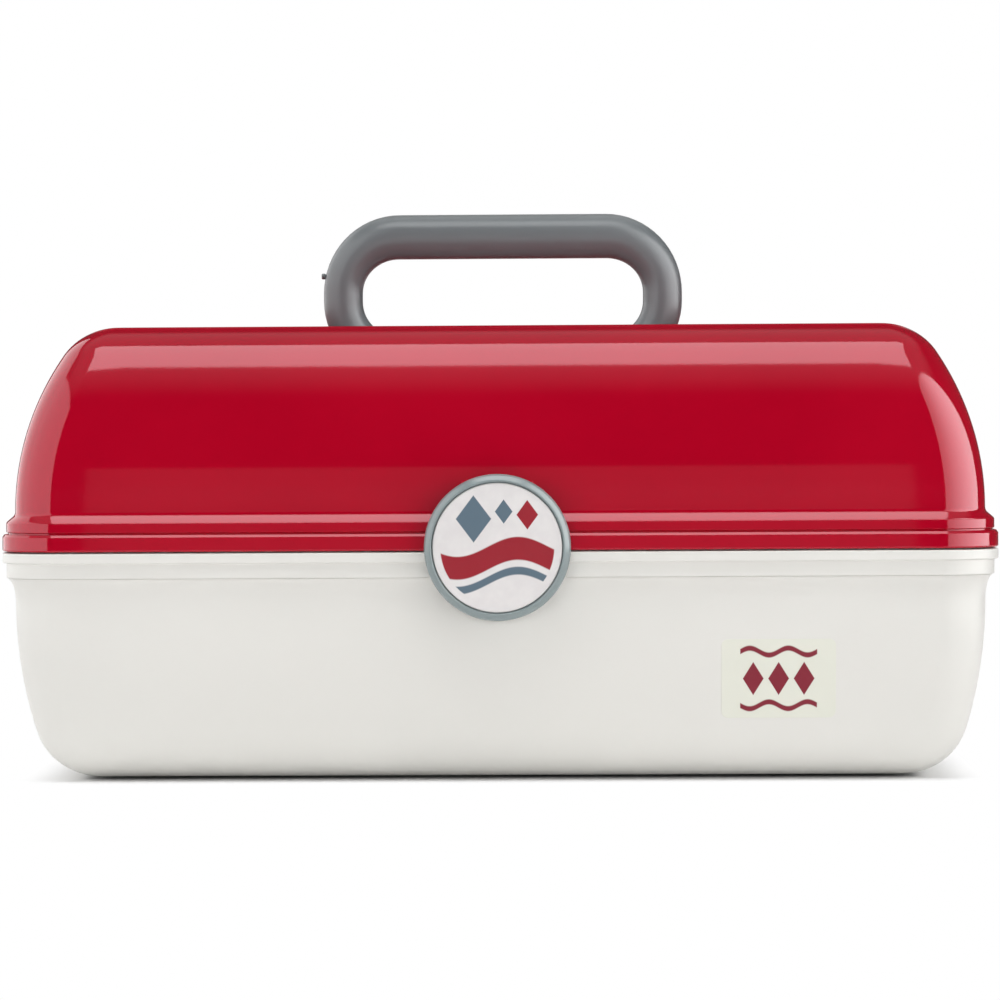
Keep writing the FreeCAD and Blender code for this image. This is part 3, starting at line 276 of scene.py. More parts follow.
# %% Wires and graphs
class Wire:
    """A socket that takes part in Python arithmetic."""

    def __init__(self, graph, socket):
        self.graph = graph
        self.socket = socket

    def math(self, operation, *others):
        sockets = dict(enumerate((self, *others)))
        return self.graph.wire("ShaderNodeMath", {"operation": operation}, sockets)

    def swapped(self, operation, other):
        return self.graph.wire("ShaderNodeMath", {"operation": operation}, {0: other, 1: self})

    def __add__(self, other):
        return self.math("ADD", other)

    __radd__ = __add__

    def __sub__(self, other):
        return self.math("SUBTRACT", other)

    def __rsub__(self, other):
        return self.swapped("SUBTRACT", other)

    def __mul__(self, other):
        return self.math("MULTIPLY", other)

    __rmul__ = __mul__

    def __truediv__(self, other):
        return self.math("DIVIDE", other)

    def __rtruediv__(self, other):
        return self.swapped("DIVIDE", other)

    def __pow__(self, other):
        return self.math("POWER", other)

    def __abs__(self):
        return self.math("ABSOLUTE")

    def fade(self, low, high):
        """0 below low, 1 above high, and smooth between; low may be the larger."""
        settings = {"interpolation_type": "SMOOTHSTEP"}
        flipped = low > high
        sockets = {"Value": self, "From Min": min(low, high), "From Max": max(low, high)}
        sockets["To Min"] = 1.0 if flipped else 0.0
        sockets["To Max"] = 0.0 if flipped else 1.0
        return self.graph.wire("ShaderNodeMapRange", settings, sockets)


class Graph:
    """A node tree with one way to add a node."""

    def __init__(self, tree):
        self.tree = tree

    def node(self, kind, settings=None, sockets=None):
        item = self.tree.nodes.new(kind)
        for name, value in (settings or {}).items():
            setattr(item, name, value)
        for name, value in (sockets or {}).items():
            if isinstance(value, Wire):
                self.tree.links.new(value.socket, item.inputs[name])
            else:
                item.inputs[name].default_value = value
        return item

    def wire(self, kind, settings=None, sockets=None, output=0):
        return Wire(self, self.node(kind, settings, sockets).outputs[output])

    def parts(self, vector):
        """The three parts of a vector."""
        split = self.node("ShaderNodeSeparateXYZ", sockets={"Vector": vector})
        return tuple(Wire(self, socket) for socket in split.outputs)

    def place(self):
        """Object coordinates and their three parts."""
        source = self.wire("ShaderNodeTexCoord", output="Object")
        return (source, *self.parts(source))

    def facing(self):
        """The three parts of the surface's own direction."""
        return self.parts(self.wire("ShaderNodeTexCoord", output="Normal"))

    def noise(self, where, scale, detail=3.0, rough=0.5):
        sockets = {"Vector": where, "Scale": scale, "Detail": detail, "Roughness": rough}
        return self.wire("ShaderNodeTexNoise", {"noise_dimensions": "3D"}, sockets)

    def blend(self, share, first, second):
        """Mix of two colours."""
        settings = {"data_type": "RGBA", "clamp_factor": True}
        mix = self.node("ShaderNodeMix", settings)
        for index, value in ((0, share), (6, first), (7, second)):
            if isinstance(value, Wire):
                self.tree.links.new(value.socket, mix.inputs[index])
            else:
                mix.inputs[index].default_value = value
        return Wire(self, mix.outputs[2])

    def first(self, kind):
        """The first node of a type."""
        return next(item for item in self.tree.nodes if item.type == kind)

    def layer(self, share, under, over):
        """Mix one shader over another and wire the result to the material's output."""
        mix = self.node("ShaderNodeMixShader", sockets={"Fac": share})
        self.tree.links.new(under.outputs[0], mix.inputs[1])
        self.tree.links.new(over.outputs[0], mix.inputs[2])
        self.tree.links.new(mix.outputs[0], self.first("OUTPUT_MATERIAL").inputs["Surface"])


print("wire and graph ready")

# %% [markdown]
# ## Finishes
# Every finish starts from the same surface shader. What makes plastic look moulded is small: a
# faint unevenness in the gloss, the slow ripple that cooling leaves, a fine grain where the mould
# was etched, and slightly paler edges where hands have rubbed. Each finish below sets those few
# amounts, and only the colour, the roughness and the bump vary over the surface. The handle's upper
# faces also get a painted highlight: their colour is painted paler where they face up.

# %% Surface starter
MOTTLE_SCALE = 14.0
FINE_SCALE = 420.0
RIPPLE_SCALE = 55.0
RIPPLE_SHARE = 0.35
WORN_EDGE = (0.52, 0.60)
PAINTED_HIGHLIGHT_UP = (0.60, 0.90)


def bare_material(name):
    """New material whose tree is still empty."""
    material = bpy.data.materials.new(name)
    material.use_nodes = True
    material.node_tree.nodes.clear()
    return material, Graph(material.node_tree)


def surface(name, **constants):
    """New material with one Principled shader; constants are set on its own sockets."""
    material, graph = bare_material(name)
    shader = graph.node("ShaderNodeBsdfPrincipled")
    for socket, value in constants.items():
        shader.inputs[socket.replace("_", " ")].default_value = value
    out = graph.node("ShaderNodeOutputMaterial")
    graph.tree.links.new(shader.outputs["BSDF"], out.inputs["Surface"])
    return material, graph, shader


def feed(graph, shader, **wires):
    """Wire values into sockets of a shader, by name."""
    for socket, wire in wires.items():
        graph.tree.links.new(wire.socket, shader.inputs[socket.replace("_", " ")])


def relief(graph, shader, height, distance):
    """Bump from a height, whose full swing is a distance in metres."""
    sockets = {"Height": height, "Distance": distance, "Strength": 1.0}
    feed(graph, shader, Normal=graph.wire("ShaderNodeBump", sockets=sockets))


def paler(colour, share):
    """Colour moved part of the way to white."""
    return tuple(part + (1.0 - part) * share for part in colour) + (1.0,)


print("surface starter ready")

# %% Moulded plastic
def moulded(name, colour, rough, grain_size, grain_depth,
            shift=0.06, worn=0.06, faded=0.0, **constants):
    """Moulded plastic: a mottled colour, an uneven gloss and an etched or rippled skin."""
    material, graph, shader = surface(name, **constants)
    where = graph.place()[0]
    broad = graph.noise(where, MOTTLE_SCALE, 3.0)
    fine = graph.noise(where, FINE_SCALE, 2.0)
    pale = tuple(min(1.0, part * (1.0 + shift) + shift * 0.02) for part in colour) + (1.0,)
    deep = tuple(part * (1.0 - shift) for part in colour) + (1.0,)
    edge = graph.wire("ShaderNodeNewGeometry", output="Pointiness").fade(*WORN_EDGE)
    tint = graph.blend(broad.fade(0.30, 0.70), deep, pale)
    tint = graph.blend(edge * fine.fade(0.35, 0.65), tint, paler(colour, worn))
    # Painted highlight: faces that look up get a paler colour, in place of light from above.
    if faded > 0.0:
        up = graph.facing()[2]
        top_highlight_mask = up.fade(*PAINTED_HIGHLIGHT_UP) * (fine * 0.3 + 0.85)
        tint = graph.blend(top_highlight_mask, tint, paler(colour, faded))
    feed(graph, shader, Base_Color=tint)
    uneven = (broad - 0.5) * (rough * 0.25) + (fine - 0.5) * (rough * 0.2)
    feed(graph, shader, Roughness=uneven + rough)
    ripple = graph.noise(where, RIPPLE_SCALE, 1.0) * RIPPLE_SHARE
    grain = graph.noise(where, grain_size, 3.0, 0.6)
    relief(graph, shader, grain + ripple, grain_depth)
    return material


print("moulded plastic ready")

# %% [markdown]
# A glossy shell mirrors everything at a flat angle. In a studio with bright panels its roof and its
# rear would turn white from the side. On those faces a dull shader of the same colour is mixed in
# at flat angles, which a Layer Weight node measures. The front keeps its full gloss.

# %% Calm roof
ROOF_UP = (0.90, 0.985)
ROOF_BACK = (0.15, 0.45)
FLAT_VIEW = (0.35, 0.70)
MOST_CALM = 0.9


def calm_roof(material):
    """Take the glare off faces that look up or back and are seen at a flat angle."""
    graph = Graph(material.node_tree)
    gloss = graph.first("BSDF_PRINCIPLED")
    dull = graph.node("ShaderNodeBsdfPrincipled", sockets={
        "Roughness": 0.5, "Specular IOR Level": 0.0,
    })
    for name in ("Base Color", "Normal"):
        graph.tree.links.new(gloss.inputs[name].links[0].from_socket, dull.inputs[name])
    _, back, up = graph.facing()
    turned = up.fade(*ROOF_UP).math("MAXIMUM", back.fade(*ROOF_BACK))
    flat = graph.wire("ShaderNodeLayerWeight", sockets={"Blend": 0.5}, output="Facing")
    graph.layer(turned * flat.fade(*FLAT_VIEW) * MOST_CALM, gloss, dull)


print("at most", MOST_CALM, "of the glare is taken off")

# %% Plastics
CRIMSON = (0.405, 0.0006, 0.0150)

PLASTICS = {
    "lid": (
        "crimson_gloss", CRIMSON, 0.065, 900.0, 0.000004,
        dict(shift=0.035, worn=0.0, IOR=1.62, Specular_Tint=(1.0, 0.68, 0.74, 1.0)),
    ),
    "lid_inner": ("crimson_satin", CRIMSON, 0.26, 2600.0, 0.00002, dict(worn=0.05, IOR=1.50)),
    "tub": (
        "white_satin", (0.745, 0.735, 0.700), 0.36, 2600.0, 0.000012,
        dict(shift=0.012, worn=0.2, IOR=1.48),
    ),
    "tray": (
        "tray_grey", (0.560, 0.590, 0.600), 0.38, 2400.0, 0.00002, dict(shift=0.02, worn=0.12),
    ),
    # The handle's finish carries a painted highlight on its upper faces.
    "handle": (
        "handle_grey", (0.142, 0.160, 0.168), 0.30, 2200.0, 0.00003,
        dict(shift=0.05, worn=0.10, faded=0.10),
    ),
    "latch": (
        "latch_grey", (0.232, 0.282, 0.288), 0.14, 2000.0, 0.00001,
        dict(shift=0.03, worn=0.0, IOR=1.60),
    ),
    "link": (
        "linkage_white", (0.62, 0.62, 0.60), 0.36, 2400.0, 0.00002, dict(shift=0.02, worn=0.10),
    ),
    "pin": ("pin_grey", (0.19, 0.21, 0.22), 0.35, 2400.0, 0.00002, dict(shift=0.04, worn=0.15)),
}
finishes = {kind: moulded(*row[:-1], **row[-1]) for kind, row in PLASTICS.items()}
calm_roof(finishes["lid"])
print("plastics:", ", ".join(sorted(finishes)))

# %% [markdown]
# Zinc-plated screws and pins show fine turning marks and a slightly blotchy bright coat. The
# mirror is a smooth metal with a trace of haze, because a perfect mirror looks like a hole.

# %% Metals
TURNING_SCALE = (9000.0, 300.0, 300.0)

steel, graph, shader = surface("zinc_steel", Metallic=1.0)
where = graph.place()[0]
stretched = graph.wire(
    "ShaderNodeVectorMath", {"operation": "MULTIPLY"}, {0: where, 1: TURNING_SCALE},
)
turned = graph.noise(stretched, 1.0, 2.0)
blotch = graph.noise(where, 180.0, 3.0)
coat = graph.blend(blotch.fade(0.3, 0.7), (0.52, 0.52, 0.53, 1.0), (0.66, 0.66, 0.65, 1.0))
feed(graph, shader, Base_Color=coat)
feed(graph, shader, Roughness=turned * 0.14 + blotch * 0.10 + 0.16)
relief(graph, shader, turned, 0.00001)
finishes["steel"] = steel

silver, graph, shader = surface("silvered_glass", Metallic=0.62)
haze = graph.noise(graph.place()[0], 25.0, 4.0)
coat = graph.blend(haze, (0.86, 0.89, 0.89, 1.0), (0.90, 0.92, 0.92, 1.0))
feed(graph, shader, Base_Color=coat)
feed(graph, shader, Roughness=haze.fade(0.4, 0.8) * 0.03 + 0.05)
finishes["mirror"] = silver
print("metals: steel, mirror")

# %% [markdown]
# The latch disc carries a printed pattern in the two colours of the case: a wave with a thin line
# under it, and lozenges above. Each motif is a distance worked out from the object coordinates, and
# a narrow fade gives the print its crisp edge. Ink lies a hair higher than the plastic, which the
# bump adds. The label on the tub is a film with lozenges in a row between two thin waves.

# %% Print motifs
LOZENGE_SOFT = 0.03
WAVE_SOFT = 0.012


def lozenge(u, v, centre_u, centre_v, half_u, half_v):
    """Mask of a lozenge, 1 inside it."""
    reach = abs(u - centre_u) / half_u + abs(v - centre_v) / half_v
    return reach.fade(1.0 + LOZENGE_SOFT, 1.0 - LOZENGE_SOFT)


def wave(u, v, level, swing, pitch, start, half):
    """Mask of a wavy line at a level, 1 on the line."""
    line = (u * pitch + start).math("SINE") * swing + level
    return abs(v - line).fade(half + WAVE_SOFT, half - WAVE_SOFT)


def ink_of(u, v, waves, field, lozenges):
    """Ink of one colour: waves kept to a field, and lozenges."""
    shapes = [wave(u, v, *row) * field for row in waves]
    shapes += [lozenge(u, v, *row) for row in lozenges]
    ink = shapes[0]
    for shape in shapes[1:]:
        ink = ink.math("MAXIMUM", shape)
    return ink


print("motifs: wave, lozenge")

# %% Printed disc
DISC_CENTRE = 0.0784
DISC_RADIUS = 0.0214
INK_SLATE = (0.095, 0.145, 0.190, 1.0)
INK_CRIMSON = (0.290, 0.002, 0.013, 1.0)

printed, graph, shader = surface("printed_disc", IOR=1.50, Coat_Roughness=0.05)
where, along_x, _, along_z = graph.place()
u = along_x / DISC_RADIUS
v = (along_z - DISC_CENTRE) / DISC_RADIUS
inside = ((u * u + v * v) ** 0.5).fade(0.875, 0.860)
crimson_ink = ink_of(
    u, v, [(-0.16, 0.15, 3.4, 0.5, 0.175)], inside, [(0.46, 0.50, 0.165, 0.225)],
)
slate_ink = ink_of(
    u, v, [(-0.50, 0.15, 3.4, 0.5, 0.060)], inside,
    [(-0.36, 0.44, 0.27, 0.36), (0.10, 0.55, 0.135, 0.185)],
)
mottle = graph.noise(where, 260.0, 3.0)
plain = graph.blend(mottle.fade(0.3, 0.7), (0.715, 0.690, 0.690, 1.0), (0.750, 0.728, 0.722, 1.0))
tint = graph.blend(slate_ink, plain, INK_SLATE)
tint = graph.blend(crimson_ink, tint, INK_CRIMSON)
ink = crimson_ink.math("MAXIMUM", slate_ink)
feed(graph, shader, Base_Color=tint, Roughness=ink * 0.10 + mottle * 0.05 + 0.20)
relief(graph, shader, ink * 0.6 + graph.noise(where, 900.0, 2.0) * 0.25, 0.00003)
finishes["disc"] = printed
print("disc printed in two inks")

# %% Printed label
LABEL_X = 92.0
LABEL_UP = 34.5
LABEL_UNIT = 0.019
INK_LABEL = (0.215, 0.006, 0.022, 1.0)

film, graph, shader = surface("label_film", IOR=1.46)
where, along_x, _, along_z = graph.place()
u = (along_x - LABEL_X * MM) / LABEL_UNIT
v = (along_z - LABEL_UP * MM) / LABEL_UNIT
margin = abs(u).fade(0.67, 0.66)
ink = ink_of(
    u, v, [(0.47, 0.06, 9.42, 0.0, 0.045), (-0.47, 0.06, 9.42, 3.1416, 0.045)], margin,
    [(centre_u, 0.0, 0.18, 0.29) for centre_u in (-0.44, 0.0, 0.44)],
)
yellowed = graph.noise(where, 120.0, 4.0)
plain = graph.blend(yellowed, (0.735, 0.745, 0.660, 1.0), (0.770, 0.770, 0.690, 1.0))
feed(graph, shader, Base_Color=graph.blend(ink, plain, INK_LABEL))
feed(graph, shader, Roughness=yellowed * 0.10 + 0.26)
relief(graph, shader, ink * 0.5 + graph.noise(where, 700.0, 2.0) * 0.2, 0.00002)
finishes["label"] = film
print("finishes:", len(finishes))

# %% [markdown]
# ## The two shells
# Tub and lid are both injection moulded: a nearly upright wall that bulges a little, a tighter turn
# into the flat end, and a rim of two stepped bands with a hollow flare above it. One profile gives
# the whole skin, outside and inside, so a ring stack suits them better than cutting solids apart.
# `side_arcs` returns the two arcs, and `outer_ring` turns an inset from the wall into a ring.

# %% Shell measures
WALL_X = 161.2
WALL_Y = 93.2
SKIN = 2.4
CORNER = 15.5
END_CORNER = 2.0
RIM_OUT = 4.3
BAND_OUT = 3.0
SEAM = 77.0
HALF_GAP = 0.25
LID_TOP = SEAM + 74.9
BELLY_STEPS = 18
TURN_STEPS = 14


def side_arcs(belly, turn, rise, offset):
    """Insets, heights and leans of the wall's arc and of the turn that ends flat."""
    junction = math.asin((rise - turn) / (belly - turn))
    centre_in = belly - (belly - turn) * math.cos(junction)
    points = []
    for step in range(BELLY_STEPS + 1):
        angle = junction * step / BELLY_STEPS
        lean = math.cos(angle)
        points.append((belly - (belly - offset) * lean, (belly - offset) * math.sin(angle), lean))
    for step in range(1, TURN_STEPS + 1):
        angle = junction + (math.pi / 2.0 - junction) * step / TURN_STEPS
        lean = math.cos(angle)
        inset = centre_in - (turn - offset) * lean
        points.append((inset, rise - turn + (turn - offset) * math.sin(angle), lean))
    return points


def outer_ring(inset, up, lean=1.0):
    """Ring of the outer wall. Its corners tighten as the wall leans over."""
    corner = END_CORNER + (CORNER - END_CORNER) * lean - min(inset, 0.0)
    return rounded_ring(WALL_X - inset, WALL_Y - inset, corner, up)


def inner_ring(inset, up, lean=1.0):
    """Ring of the inner wall."""
    corner = END_CORNER + (CORNER - END_CORNER) * lean - min(inset, SKIN * lean)
    return rounded_ring(WALL_X - inset, WALL_Y - inset, corner, up)


def rim_rings(rim):
    """Rings of a rim's profile, which goes from the outer wall round to the inner one."""
    return [outer_ring(inset, up) if inset <= 0 else inner_ring(inset, up) for inset, up in rim]


print("lid top at", LID_TOP)

# %% Tub shell
TUB_WALL = 60.0
TUB_RISE = 59.1
TUB_BELLY = 160.0
TUB_TURN = 22.0
TUB_BAND = 68.35
TUB_STEP = 73.35
TUB_LIP = 79.75
TUB_RIM = SEAM - HALF_GAP


def hollow_flare(height, steps=10):
    """Quarter ellipse from the wall out to the second band, as (inset, height past the wall)."""
    points = []
    for step in range(steps + 1):
        angle = math.pi / 2.0 * step / steps
        points.append((-(BAND_OUT - BAND_OUT * math.cos(angle)), height * math.sin(angle)))
    return points


bottom = TUB_WALL - TUB_RISE
arcs = side_arcs(TUB_BELLY, TUB_TURN, TUB_RISE, 0.0)
outside = [outer_ring(inset, TUB_WALL - up, lean) for inset, up, lean in reversed(arcs)]
panel = eased([
    (arcs[-1][0], bottom, 0), (36.0, bottom, 0.5), (36.8, bottom + 0.8, 0.5),
    (44.0, bottom + 0.8, 0),
])
base = [outer_ring(inset, up, 0.3) for inset, up in reversed(panel[1:])]
outside += [
    outer_ring(inset, TUB_WALL + up) for inset, up in hollow_flare(TUB_BAND - TUB_WALL)[1:-1]
]
outside += rim_rings(eased([
    (-BAND_OUT + 0.8, TUB_BAND, 0), (-BAND_OUT, TUB_BAND, 0.45), (-BAND_OUT, TUB_STEP, 0.25),
    (-RIM_OUT, TUB_STEP, 0.45), (-RIM_OUT, TUB_RIM, 0.4), (1.1, TUB_RIM, 0.2),
    (1.1, TUB_LIP, 0.35), (SKIN, TUB_LIP, 0.35), (SKIN, 70.0, 0),
]))
arcs = side_arcs(TUB_BELLY, TUB_TURN, TUB_RISE, SKIN)
inside = [inner_ring(inset, TUB_WALL - up, lean) for inset, up, lean in arcs]
tub_shell = skin_of("tub_shell", base + outside + inside)
print("tub shell:", len(tub_shell.data.polygons), "faces")

# %% Lid shell
LID_WALL = 90.5
LID_RISE = LID_TOP - LID_WALL
LID_BELLY = 98.0
LID_TURN = 21.3
LID_RIM = SEAM + HALF_GAP
LID_LEDGE = 82.85
GROOVE_IN = -BAND_OUT + 0.55
REBATE_IN = 0.7
REBATE_UP = 80.25
WELL = (66.5, 31.5, 8.0, 20.5)
WELL_FLOOR = 133.9


def sloped_flare(height, radius, lean, steps=8):
    """Small hollow arc from the wall, then a straight slope out to the second band."""
    points = []
    for step in range(steps + 1):
        angle = math.radians(lean) * step / steps
        points.append((-radius * (1.0 - math.cos(angle)), radius * math.sin(angle)))
    inset, below = points[-1]
    points.append((inset - 0.03, below + 0.03 / math.tan(math.radians(lean))))
    points.append((-BAND_OUT + 0.22, height - 0.16))
    return points


def well_ring(out, up):
    """Ring round the handle's well, some way out from its wall."""
    half_x, half_y, corner, mid_y = WELL
    return rounded_ring(half_x + out, half_y + out, corner + out, up, mid_y)


path = [well_ring(out, up) for out, up in eased([
    (-7.0, WELL_FLOOR, 0), (0.0, WELL_FLOOR, 2.6), (0.0, LID_TOP, 1.3), (4.0, LID_TOP, 0),
], steps=7)]
arcs = side_arcs(LID_BELLY, LID_TURN, LID_RISE, 0.0)
path.append(outer_ring(arcs[-1][0] + 3.0, LID_TOP, arcs[-1][2]))
path += [outer_ring(inset, LID_WALL + up, lean) for inset, up, lean in reversed(arcs[1:])]
flare = sloped_flare(LID_WALL - 86.85, radius=2.5, lean=38.5)
path += [outer_ring(inset, LID_WALL - below) for inset, below in flare]
path += rim_rings(eased([
    (-BAND_OUT + 0.12, 86.75, 0), (-BAND_OUT, 86.6, 0.1), (-BAND_OUT, 83.6, 0.15),
    (GROOVE_IN, 83.4, 0.05), (GROOVE_IN, LID_LEDGE, 0.1), (-RIM_OUT + 0.6, LID_LEDGE, 0.12),
    (-RIM_OUT, 82.0, 0.15), (-RIM_OUT, LID_RIM, 0.55), (REBATE_IN, LID_RIM, 0.25),
    (REBATE_IN, REBATE_UP, 0.25), (SKIN, REBATE_UP, 0.25), (SKIN, 84.0, 0),
]))
arcs = side_arcs(LID_BELLY, LID_TURN, LID_RISE, SKIN)
path += [inner_ring(inset, LID_WALL + up, lean) for inset, up, lean in arcs]
path += [well_ring(out, up) for out, up in eased([
    (8.0, LID_TOP - SKIN, 0), (SKIN, LID_TOP - SKIN, 1.2), (SKIN, WELL_FLOOR - SKIN, 2.0),
    (-7.0, WELL_FLOOR - SKIN, 0),
])]
lid_shell = skin_of("lid_shell", path)
print("lid shell:", len(lid_shell.data.polygons), "faces")

# %% [markdown]
# ## Repeats
# Feet, hinge knuckles, bosses, screws and pivot pins all repeat. One geometry tree puts copies of a
# part on a grid of places, makes the copies real and gives them their finish. The result is turned
# into a plain mesh, because an export drops instances, and the modifier goes before the frame is
# told about the piece. The handle's sweep further down uses the same three helpers.

# %% Tree helpers
def tree_with(name, inputs):
    """Empty geometry tree with named inputs, its graph, and a wire from each input."""
    tree = bpy.data.node_groups.new(name, "GeometryNodeTree")
    for socket, kind in inputs:
        tree.interface.new_socket(socket, in_out="INPUT", socket_type="NodeSocket" + kind)
    tree.interface.new_socket("Geometry", in_out="OUTPUT", socket_type="NodeSocketGeometry")
    graph = Graph(tree)
    entry = graph.node("NodeGroupInput")
    given = {socket.name: Wire(graph, socket) for socket in entry.outputs if socket.name}
    return tree, graph, given


def end_tree(graph, geometry, finish):
    """Make copies real, give them their finish and end the tree."""
    real = graph.wire("GeometryNodeRealizeInstances", sockets={"Geometry": geometry})
    done = graph.wire("GeometryNodeSetMaterial", sockets={"Geometry": real, "Material": finish})
    graph.node("NodeGroupOutput", sockets={"Geometry": done})


def run_tree(piece, tree, values):
    """Plain mesh that a tree makes of an object; inputs are set by their identifiers."""
    modifier = piece.modifiers.new("tree", "NODES")
    modifier.node_group = tree
    for socket in tree.interface.items_tree:
        if socket.in_out == "INPUT" and socket.name in values:
            modifier[socket.identifier] = values[socket.name]
    return settled(piece)


print("tree helpers ready")

# %% Grid of copies
def copies_tree():
    """Tree that puts copies of a part on a flat grid round a centre."""
    tree, graph, given = tree_with("copies_on_a_grid", (
        ("Part", "Object"), ("Count X", "Int"), ("Count Y", "Int"), ("Pitch X", "Float"),
        ("Pitch Y", "Float"), ("Centre", "Vector"), ("Finish", "Material"),
    ))
    grid = graph.wire("GeometryNodeMeshGrid", sockets={
        "Size X": given["Pitch X"] * (given["Count X"] - 1.0),
        "Size Y": given["Pitch Y"] * (given["Count Y"] - 1.0),
        "Vertices X": given["Count X"], "Vertices Y": given["Count Y"],
    })
    points = graph.wire("GeometryNodeMeshToPoints", sockets={"Mesh": grid})
    moved = graph.wire("GeometryNodeSetPosition", sockets={
        "Geometry": points, "Offset": given["Centre"],
    })
    held = graph.wire(
        "GeometryNodeObjectInfo", sockets={"Object": given["Part"]}, output="Geometry",
    )
    placed = graph.wire("GeometryNodeInstanceOnPoints", sockets={"Points": moved, "Instance": held})
    end_tree(graph, placed, given["Finish"])
    return tree


COPIES = copies_tree()


def copies(name, part, count, pitch, centre, finish):
    """Plain mesh piece with count copies of part; pitch and centre are in millimetres."""
    holder = linked(name, bpy.data.meshes.new(name))
    mesh = run_tree(holder, COPIES, {
        "Part": part, "Count X": count[0], "Count Y": count[1],
        "Pitch X": pitch[0] * MM, "Pitch Y": pitch[1] * MM,
        "Centre": [value * MM for value in centre], "Finish": finish,
    })
    mesh.name = name
    holder.modifiers.clear()
    holder.data = mesh
    bpy.data.objects.remove(part)
    print(f"{name}: {count[0] * count[1]} copies, {len(mesh.polygons)} faces")
    return holder

# %% Rig helper
def fit_out(piece, body, finish, slot, *nodes):
    """Give a piece its surface, its body and the nodes that it stands for; the slot is not used."""
    piece.data.materials.clear()
    piece.data.materials.append(finishes[finish])
    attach(piece, body)
    if nodes:
        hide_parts(*nodes)
    return piece


fit_out(tub_shell, "tub_body", "tub", "tub_plastic", "tub")
fit_out(lid_shell, "lid_body", "lid", "lid_plastic", "lid")
print("shells ride on their bodies")

# %% Feet under the tub
foot = lathed("foot", eased([
    (0.0, 0.0, 0), (4.0, 0.0, 0.45), (4.0, 1.2, 0), (0.0, 1.2, 0),
])[1:-1], (0, 0, 0), "Z", steps=40)
feet = copies("feet", foot, (2, 2), (248.0, 104.0), (0, 0, 0), finishes["tub"])
fit_out(feet, "tub_body", "tub", "tub_plastic")

# %% [markdown]
# ## Hinges
# A moulded hinge is a row of knuckles: two on the tub and one on the lid, with a steel pin through
# them. Each knuckle is a short tube with rounded ends, tied to the rim by a web.

# %% Hinge knuckles and pins
HINGE_X = 95.0
HINGE_Y = 101.8
HINGE_PIN_HALF = 14.0
KNUCKLE_RADIUS = 4.0
KNUCKLE_BORE = 1.55
SIDES = (("left", -1), ("right", 1))


def knuckle(name, width, low, high):
    """Tube round the hinge axis, and the web that reaches from it into the rim."""
    half = width / 2.0
    axis = (0, HINGE_Y, SEAM)
    tube = rod(name + "_tube", KNUCKLE_RADIUS, -half, half, 0.5, axis, 48, KNUCKLE_BORE)
    corners = (-half + 0.15, 96.6, low), (half - 0.15, HINGE_Y - 1.6, high)
    return joined(name, [tube, eased_block(name + "_web", *corners, 0.5)])


for side, sign in SIDES:
    hinge_place = (HINGE_X * sign, 0, 0)
    part = knuckle(f"tub_knuckle_{side}", 8.0, 73.2, SEAM - 0.9)
    ears = copies(f"tub_knuckles_{side}", part, (2, 1), (20.0, 1.0), hinge_place, finishes["tub"])
    fit_out(ears, "tub_body", "tub", "tub_plastic")
    part = knuckle(f"lid_knuckle_part_{side}", 11.4, SEAM + 0.9, 80.8)
    tongue = copies(f"lid_knuckle_{side}", part, (1, 1), (1.0, 1.0), hinge_place, finishes["lid"])
    fit_out(tongue, "lid_body", "lid", "lid_plastic")
    pin = rod(
        f"hinge_pin_{side}_steel", 1.5, -HINGE_PIN_HALF, HINGE_PIN_HALF, 0.3,
        (HINGE_X * sign, HINGE_Y, SEAM),
    )
    fit_out(pin, "tub_body", "steel", "steel", f"hinge_pin_{side}")

# %% [markdown]
# ## Handle
# The handle is one thick bar that follows a path: two stubs on the pivot line, two curls, two
# shoulders and the grip. A sweep suits it, so its path is a curve whose radius is a little larger
# in the grip, and a small tree sweeps a circle along it. Where the plastic once ran into the mould,
# a cut-off nub stands on the outer side of one leg.

# %% Handle path
PIVOT_Z = 143.3
LEG_X = 56.1
CURL = 18.5
BEND_UP = 21.5
SHOULDER = 20.0
STUB_RADIUS = 4.5
LEG_RADIUS = 6.85
GRIP_RADIUS = 7.8
GRIP_SINK = GRIP_RADIUS - 7.5
ARC_STEPS = 16
LEG_STEPS = 4
GRIP_STEPS = 8


def handle_path():
    """Half of the handle's line, from the right stub to the middle of the grip, with radii."""
    rows = [
        (23.0, 0.0, STUB_RADIUS), (31.9, 0.0, STUB_RADIUS),
        (32.0, 0.0, LEG_RADIUS - 0.5), (32.5, 0.0, LEG_RADIUS),
    ]
    for step in range(ARC_STEPS + 1):
        angle = math.radians(-90.0 + 90.0 * step / ARC_STEPS)
        across = LEG_X - CURL + CURL * math.cos(angle)
        rows.append((across, CURL + CURL * math.sin(angle), LEG_RADIUS))
    for step in range(1, LEG_STEPS + 1):
        rows.append((LEG_X, CURL + (BEND_UP - CURL) * step / LEG_STEPS, LEG_RADIUS))
    for step in range(1, ARC_STEPS + 1):
        angle = math.radians(90.0 * step / ARC_STEPS)
        share = step / ARC_STEPS
        radius = LEG_RADIUS + (GRIP_RADIUS - LEG_RADIUS) * share * share * (3.0 - 2.0 * share)
        across = LEG_X - SHOULDER + SHOULDER * math.cos(angle)
        rows.append((across, BEND_UP + SHOULDER * math.sin(angle) - GRIP_SINK * share, radius))
    for step in range(1, GRIP_STEPS + 1):
        across = (LEG_X - SHOULDER) * (1.0 - step / GRIP_STEPS)
        rows.append((across, BEND_UP + SHOULDER - GRIP_SINK, GRIP_RADIUS))
    return rows


half_path = handle_path()
full_path = half_path + [(-x, up, radius) for x, up, radius in reversed(half_path[:-1])]
curve = bpy.data.curves.new("handle_line", "CURVE")
curve.dimensions = "3D"
spline = curve.splines.new("POLY")
spline.points.add(len(full_path) - 1)
for point, (x, up, radius) in zip(spline.points, full_path):
    point.co = (x * MM, 0.0, (PIVOT_Z + up) * MM, 1.0)
    point.radius = radius
print("handle path:", len(full_path), "points")

# %% Handle sweep
HANDLE_SIDES = 48


